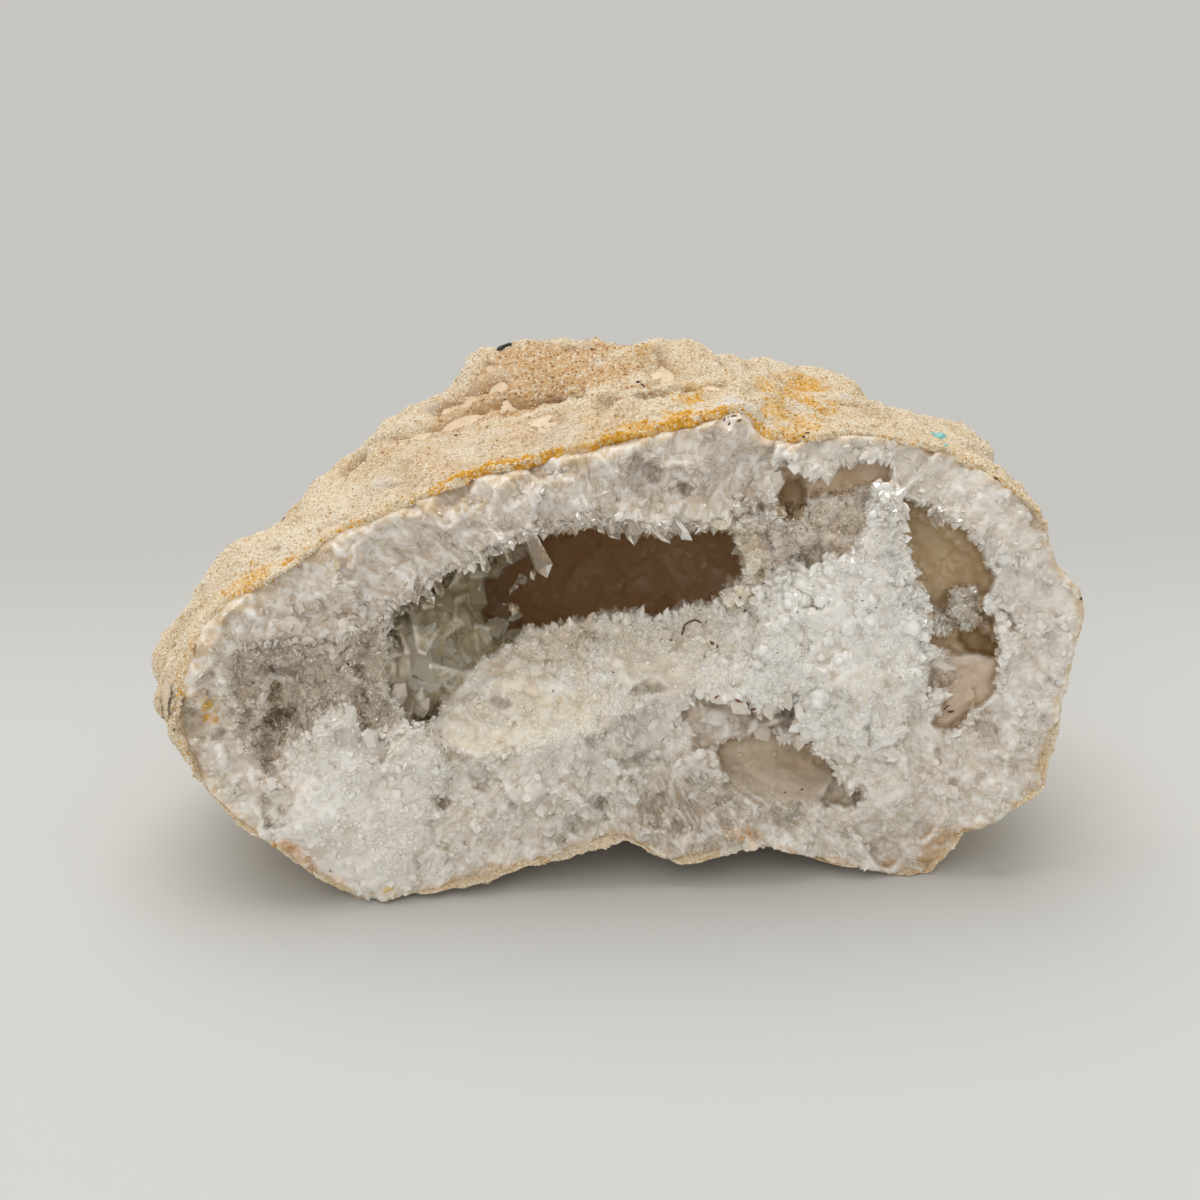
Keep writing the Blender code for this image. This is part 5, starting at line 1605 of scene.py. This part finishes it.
def make_grains(count, seed):
    """Sand grains standing on the rind, thickest where it faces up and forward."""
    r = np.random.default_rng(seed)
    normals = vertex_normals(rind_q, rind_tris)
    mid = rind_q[rind_tris].mean(1)
    face_n = normals[rind_tris].mean(1)
    toward = to_face(CAM_BACK) - to_face(np.zeros(3))
    weight = 0.30 + 0.70 * smooth(-0.1, 0.25, face_n @ toward) * (1.0 - smooth(38.0, 60.0, mid[:, 2]))
    weight = weight * smooth(2.0, 9.0, to_world(mid)[:, 2])
    weight = weight * (1.0 + 2.0 * (1.0 - smooth(0.3, 1.8, mid[:, 2] - break_depth(mid[:, 0], mid[:, 1]))))
    pos, nrm = pick(rind_q, rind_tris, normals, weight, count, r)
    size = 0.42 * (1.0 / 0.42) ** r.beta(1.2, 3.0, count)
    ob = gems("rind_grains", pos, nrm + 0.35 * r.normal(size=nrm.shape), size, 0.42 * size, 0.35 * size, r, sides=4,
              smooth_shade=True)
    shade = r.uniform(0, 1, (count, 1))
    colour = np.where(shade < 0.48, srgb(252, 244, 226), np.where(shade < 0.91, srgb(241, 224, 194),
                                                                  srgb(212, 176, 126)))
    tan = tan_at(pos)[:, None] * (r.uniform(0, 1, (count, 1)) < 0.84)
    colour = colour + tan * (np.where(shade < 0.5, srgb(222, 188, 146), srgb(176, 128, 84)) - colour)
    colour = colour + 0.85 * chalk_at(pos)[:, None] * (srgb(240, 236, 230) - colour)
    rim_w = pos[:, 2] - break_depth(pos[:, 0], pos[:, 1])
    theta = np.degrees(np.arctan2(pos[:, 1] - RIM_CENTRE[1], pos[:, 0] - RIM_CENTRE[0]))
    near = (1.0 - smooth(0.5, 5.0, rim_w)) * smooth(62, 72, theta) * (1 - smooth(128, 140, theta))
    rusty = (r.uniform(0, 1, count) < 0.75 * iron_at(pos) + 0.18 * near)[:, None]
    colour = np.where(rusty, srgb(238, 180, 54) * r.uniform(0.70, 1.12, (count, 1)), colour)
    # the grains take the same dirt and painted shade
    colour = colour + dirt_and_shade_at(pos)[:, None] * (srgb(120, 98, 74) - colour)
    set_colour(ob, "tint", np.repeat(colour * r.uniform(0.88, 1.0, (count, 1)), 6, axis=0))
    return ob


grains_ob = make_grains(24000, 501)

# ------------------------------------------------------------------ loose dirt
bpy.context.view_layer.update()
GRAPH = bpy.context.evaluated_depsgraph_get()
TREES = [BVHTree.FromObject(o, GRAPH) for o in [rind_ob, quartz_ob] + [o for _, o in pieces]]


def hit(px, py):
    """Where the line of sight of a pixel meets the finished stone, in world mm, and the direction it faces.
    A line that only just misses it is moved towards the middle."""
    for step in range(40):
        eye, ray = ray_at(px + 0.004 * step * (620 - px), py + 0.004 * step * (640 - py))
        best = None
        for tree in TREES:
            place, normal, _, dist = tree.ray_cast(Vector(eye * 0.001), Vector(ray))
            if place is not None and (best is None or dist < best[2]):
                best = (np.array(place) * 1000.0, np.array(normal), dist)
        if best:
            break
    return best[:2]


def specks(name, rows, seed, scale=1.0, lift=0.12, facing=0.9):
    """Small closed flakes: px, py, length and width in mm, turn in degrees in the picture."""
    r = np.random.default_rng(seed)
    points, faces = [], []
    for px, py, long, wide, turn in rows:
        place, normal = hit(px, py)
        long, wide = long * scale, wide * scale
        normal = normal + facing * CAM_BACK
        normal /= np.linalg.norm(normal)
        lie = CAM_RIGHT * cos(radians(turn)) + CAM_UP * sin(radians(turn))
        lie = lie - normal * (lie @ normal)
        lie /= np.linalg.norm(lie)
        side = np.cross(normal, lie)
        first, k = 10 * len(points), 8
        body = []
        for j in range(k):
            a = 2 * pi * j / k
            m = r.uniform(0.75, 1.2)
            body.append(place + lift * wide * normal + m * (0.5 * long * cos(a) * lie + 0.5 * wide * sin(a) * side))
        body.append(place + (lift + 0.33) * wide * normal + 0.1 * long * r.normal() * lie)
        body.append(place - 0.25 * wide * normal)
        points.append(np.array(body))
        for j in range(k):
            m = (j + 1) % k
            faces += [(first + j, first + m, first + 8), (first + m, first + j, first + 9)]
    return new_object(name, None, np.array(faces), True, world=np.concatenate(points))


def fibre(name, path, lifts, radius):
    """A thin closed thread over places in px, each lifted so many mm off the stone."""
    places = []
    for (px, py), up in zip(path, lifts):
        place, _ = hit(px, py)
        places.append(place + CAM_BACK * up)
    places = np.array(places)
    t = np.linspace(0, len(places) - 1, 6 * (len(places) - 1) + 1)
    line = np.stack([np.interp(t, np.arange(len(places)), places[:, k]) for k in range(3)], -1)
    along_line = np.gradient(line, axis=0)
    along_line /= np.linalg.norm(along_line, axis=-1)[:, None]
    b = np.cross(along_line, CAM_UP + 0.3 * CAM_RIGHT)
    b /= np.linalg.norm(b, axis=-1)[:, None]
    c = np.cross(along_line, b)
    taper = radius * np.minimum(1.0, 0.35 + 0.65 * np.minimum(np.arange(len(line)), np.arange(len(line))[::-1]) / 3.0)
    rings = [line + taper[:, None] * (cos(a) * b + sin(a) * c) for a in np.arange(6) * pi / 3]
    points = np.stack(rings, 1).reshape(-1, 3)
    faces = []
    for i in range(len(line) - 1):
        for k in range(6):
            m = (k + 1) % 6
            p0, p1, p2, p3 = 6 * i + k, 6 * i + m, 6 * i + 6 + m, 6 * i + 6 + k
            faces += [(p0, p1, p2), (p0, p2, p3)]
    end = 6 * (len(line) - 1)
    faces += [(0, k + 1, k) for k in range(1, 5)] + [(end, end + k, end + k + 1) for k in range(1, 5)]
    return new_object(name, None, np.array(faces), True, world=points)


def plain_material(name, dark, light, rough, size_mm=0.3):
    m = Nodes(name)
    m.set(Base_Color=m.mix(m.ramp(m.noise(size_mm, 3.0, 0.6), 0.35, 0.65), tuple(srgb(*dark)), tuple(srgb(*light))),
          Roughness=rough)
    return m.mat


black_specks = specks("dirt_black", [
    (592, 349, 0.6, 0.5, 0), (638, 382, 0.7, 1.1, 60), (643, 385, 0.9, 0.5, 20), (278, 517, 0.8, 0.5, 70),
    (456, 435, 0.6, 0.5, 0), (724, 419, 0.7, 0.4, 10), (729, 424, 1.0, 0.5, 50), (734, 416, 0.9, 0.6, 20),
    (739, 421, 0.8, 0.4, 160), (733, 412, 0.4, 0.3, 0), (741, 414, 0.5, 0.3, 0), (728, 417, 0.5, 0.3, 80),
    (806, 433, 1.1, 0.5, 40), (803, 436, 0.6, 0.4, 120), (868, 405, 0.6, 0.4, 0), (1087, 598, 0.6, 0.5, 0),
    (1051, 535, 0.5, 0.5, 0), (150, 720, 0.5, 0.4, 0), (174, 730, 0.7, 0.5, 30), (180, 729, 0.4, 0.3, 0),
    (165, 725, 0.4, 0.3, 0), (330, 871, 0.4, 0.4, 0), (785, 792, 0.4, 0.4, 0), (802, 789, 0.5, 0.4, 0),
    (740, 598, 0.4, 0.4, 0), (745, 610, 0.5, 0.4, 0), (553, 691, 0.4, 0.4, 0), (797, 612, 0.4, 0.3, 0),
    (862, 601, 0.5, 0.25, 20), (876, 608, 0.4, 0.3, 0), (758, 620, 1.3, 0.25, 45), (948, 706, 1.4, 0.3, 150),
    (386, 496, 0.5, 0.4, 90), (505, 399, 0.4, 0.3, 0), (630, 428, 0.4, 0.3, 0), (700, 610, 0.4, 0.3, 30),
    (824, 606, 0.35, 0.3, 0), (769, 606, 0.4, 0.3, 0), (813, 586, 0.4, 0.3, 0)], 511, 1.35)
brown_specks = specks("dirt_brown", [
    (671, 640, 0.7, 0.5, 30), (682, 633, 0.8, 0.6, 80), (684, 629, 0.5, 0.4, 0), (712, 644, 1.1, 0.8, 70),
    (717, 647, 0.8, 0.5, 20), (712, 650, 0.5, 0.4, 0), (705, 656, 0.7, 0.5, 60), (613, 672, 0.5, 0.4, 0),
    (951, 712, 1.0, 0.7, 20), (945, 709, 0.5, 0.4, 0), (778, 653, 0.4, 0.3, 0), (706, 622, 0.6, 0.4, 0),
    (764, 583, 0.5, 0.4, 0), (995, 478, 1.0, 1.2, 60), (738, 701, 1.2, 0.7, 170), (748, 705, 1.3, 0.8, 160),
    (753, 709, 0.9, 0.6, 0), (716, 697, 1.0, 0.5, 170), (661, 640, 0.5, 0.3, 0), (553, 377, 0.5, 0.4, 0)], 512, 1.25)
blue_fleck = specks("fleck_turquoise", [(938, 438, 3.0, 2.6, 35), (945, 446, 1.2, 0.8, 60), (932, 433, 1.0, 0.7, 0)], 513,
                    1.0, 0.25, 3.0)
rod = fibre("rod_black", [(497, 350), (501, 347), (506, 344), (511, 342)], (0.2, 0.6, 0.9, 1.0), 0.42)
hair = fibre("hair_brown", [(682, 636), (683, 630), (684, 625), (690, 621), (696, 620), (702, 623)],
             (0.1, 0.6, 1.1, 1.2, 0.9, 0.1), 0.15)
dirt = [(black_specks, plain_material("dirt_dark", (26, 22, 20), (62, 54, 48), 0.6)),
        (brown_specks, plain_material("dirt_rusty", (84, 44, 20), (140, 88, 44), 0.7)),
        (blue_fleck, plain_material("fleck_paint", (128, 200, 204), (160, 220, 220), 0.55)),
        (rod, plain_material("rod_dark", (34, 34, 30), (70, 68, 58), 0.55)),
        (hair, plain_material("hair_dark", (60, 38, 24), (90, 60, 40), 0.5))]
for ob, mat in dirt:
    ob.data.materials.append(mat)
    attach(ob, "root")

for ob, mat in ([(rind_ob, rind_mat), (grains_ob, grain_mat), (quartz_ob, quartz_mat)]
                + [(o, crystal_mats[k]) for k, o in pieces]):
    ob.data.materials.clear()
    ob.data.materials.append(mat)
    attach(ob, "root")
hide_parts("rind")
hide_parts("quartz")

# ------------------------------------------------------------------ stage
n = Nodes("paper")
sep = n.add("ShaderNodeSeparateXYZ")
n.link(n.place, sep.inputs[0])
# painted shade: the paper is painted darker towards the back, for a backdrop that gets less light
near, far = (0.588, 0.597, 0.598), (0.486, 0.491, 0.494)
n.set(Base_Color=n.mix(n.ramp(sep.outputs["Y"], 0.0, 0.17), near, far), Roughness=0.9)
n.bsdf.inputs["Specular IOR Level"].default_value = 0.1
floor = new_object("floor", None, np.array([[0, 1, 2, 3]]), False,
                   world=np.array([[-9000.0, -9000, 0], [9000, -9000, 0], [9000, 9000, 0], [-9000, 9000, 0]]))
floor.data.materials.append(n.mat)

# soft light from all round, stronger from above, over a backdrop as grey as the paper
world = bpy.data.worlds.new("room")
bpy.context.scene.world = world
world.use_nodes = True
tree = world.node_tree
back_node = tree.nodes["Background"]
where = tree.nodes.new("ShaderNodeTexCoord")
split = tree.nodes.new("ShaderNodeSeparateXYZ")
tree.links.new(where.outputs["Generated"], split.inputs[0])
lift = tree.nodes.new("ShaderNodeMapRange")
lift.interpolation_type = 'SMOOTHSTEP'
tree.links.new(split.outputs["Z"], lift.inputs["Value"])
lift.inputs["From Min"].default_value, lift.inputs["From Max"].default_value = 0.05, 0.75
blend = tree.nodes.new("ShaderNodeMix")
blend.data_type = 'RGBA'
tree.links.new(lift.outputs["Result"], blend.inputs["Factor"])
blend.inputs[6].default_value = (0.50, 0.465, 0.41, 1.0)
blend.inputs[7].default_value = (0.56, 0.53, 0.48, 1.0)
tree.links.new(blend.outputs[2], back_node.inputs["Color"])
back_node.inputs["Strength"].default_value = 1.10


def soft_sun(name, toward, strength, spread, colour):
    data = bpy.data.lights.new(name, 'SUN')
    data.energy = strength
    data.angle = radians(spread)
    data.color = colour
    ob = bpy.data.objects.new(name, data)
    bpy.context.scene.collection.objects.link(ob)
    ob.rotation_mode = 'QUATERNION'
    ob.rotation_quaternion = Vector(toward).to_track_quat('Z', 'Y')
    return ob


soft_sun("overhead", (-0.12, 0.36, 0.90), 1.56, 56.0, (1.0, 1.0, 0.99))
soft_sun("front_fill", (-0.35, -0.80, 0.50), 0.69, 60.0, (1.0, 0.995, 0.985))

eye, right, up, back = view_axes()
cam_data = bpy.data.cameras.new("camera")
cam_data.sensor_width = 36.0
cam_data.lens = 36.0 * FOCAL_PX / 1200.0
cam_data.clip_start, cam_data.clip_end = 0.01, 50.0
cam = bpy.data.objects.new("camera", cam_data)
bpy.context.scene.collection.objects.link(cam)
cam.matrix_world = Matrix((
    (right[0], up[0], back[0], eye[0] * 0.001),
    (right[1], up[1], back[1], eye[1] * 0.001),
    (right[2], up[2], back[2], eye[2] * 0.001),
    (0, 0, 0, 1)))
bpy.context.scene.camera = cam
bpy.context.scene.view_settings.view_transform = 'Standard'
bpy.context.scene.view_settings.look = 'None'

bpy.context.view_layer.update()
tell("done, triangles in all:", sum(len(f.vertices) - 2 for o in bpy.data.objects if o.type == 'MESH'
                                   and not o.hide_render for f in o.data.polygons))
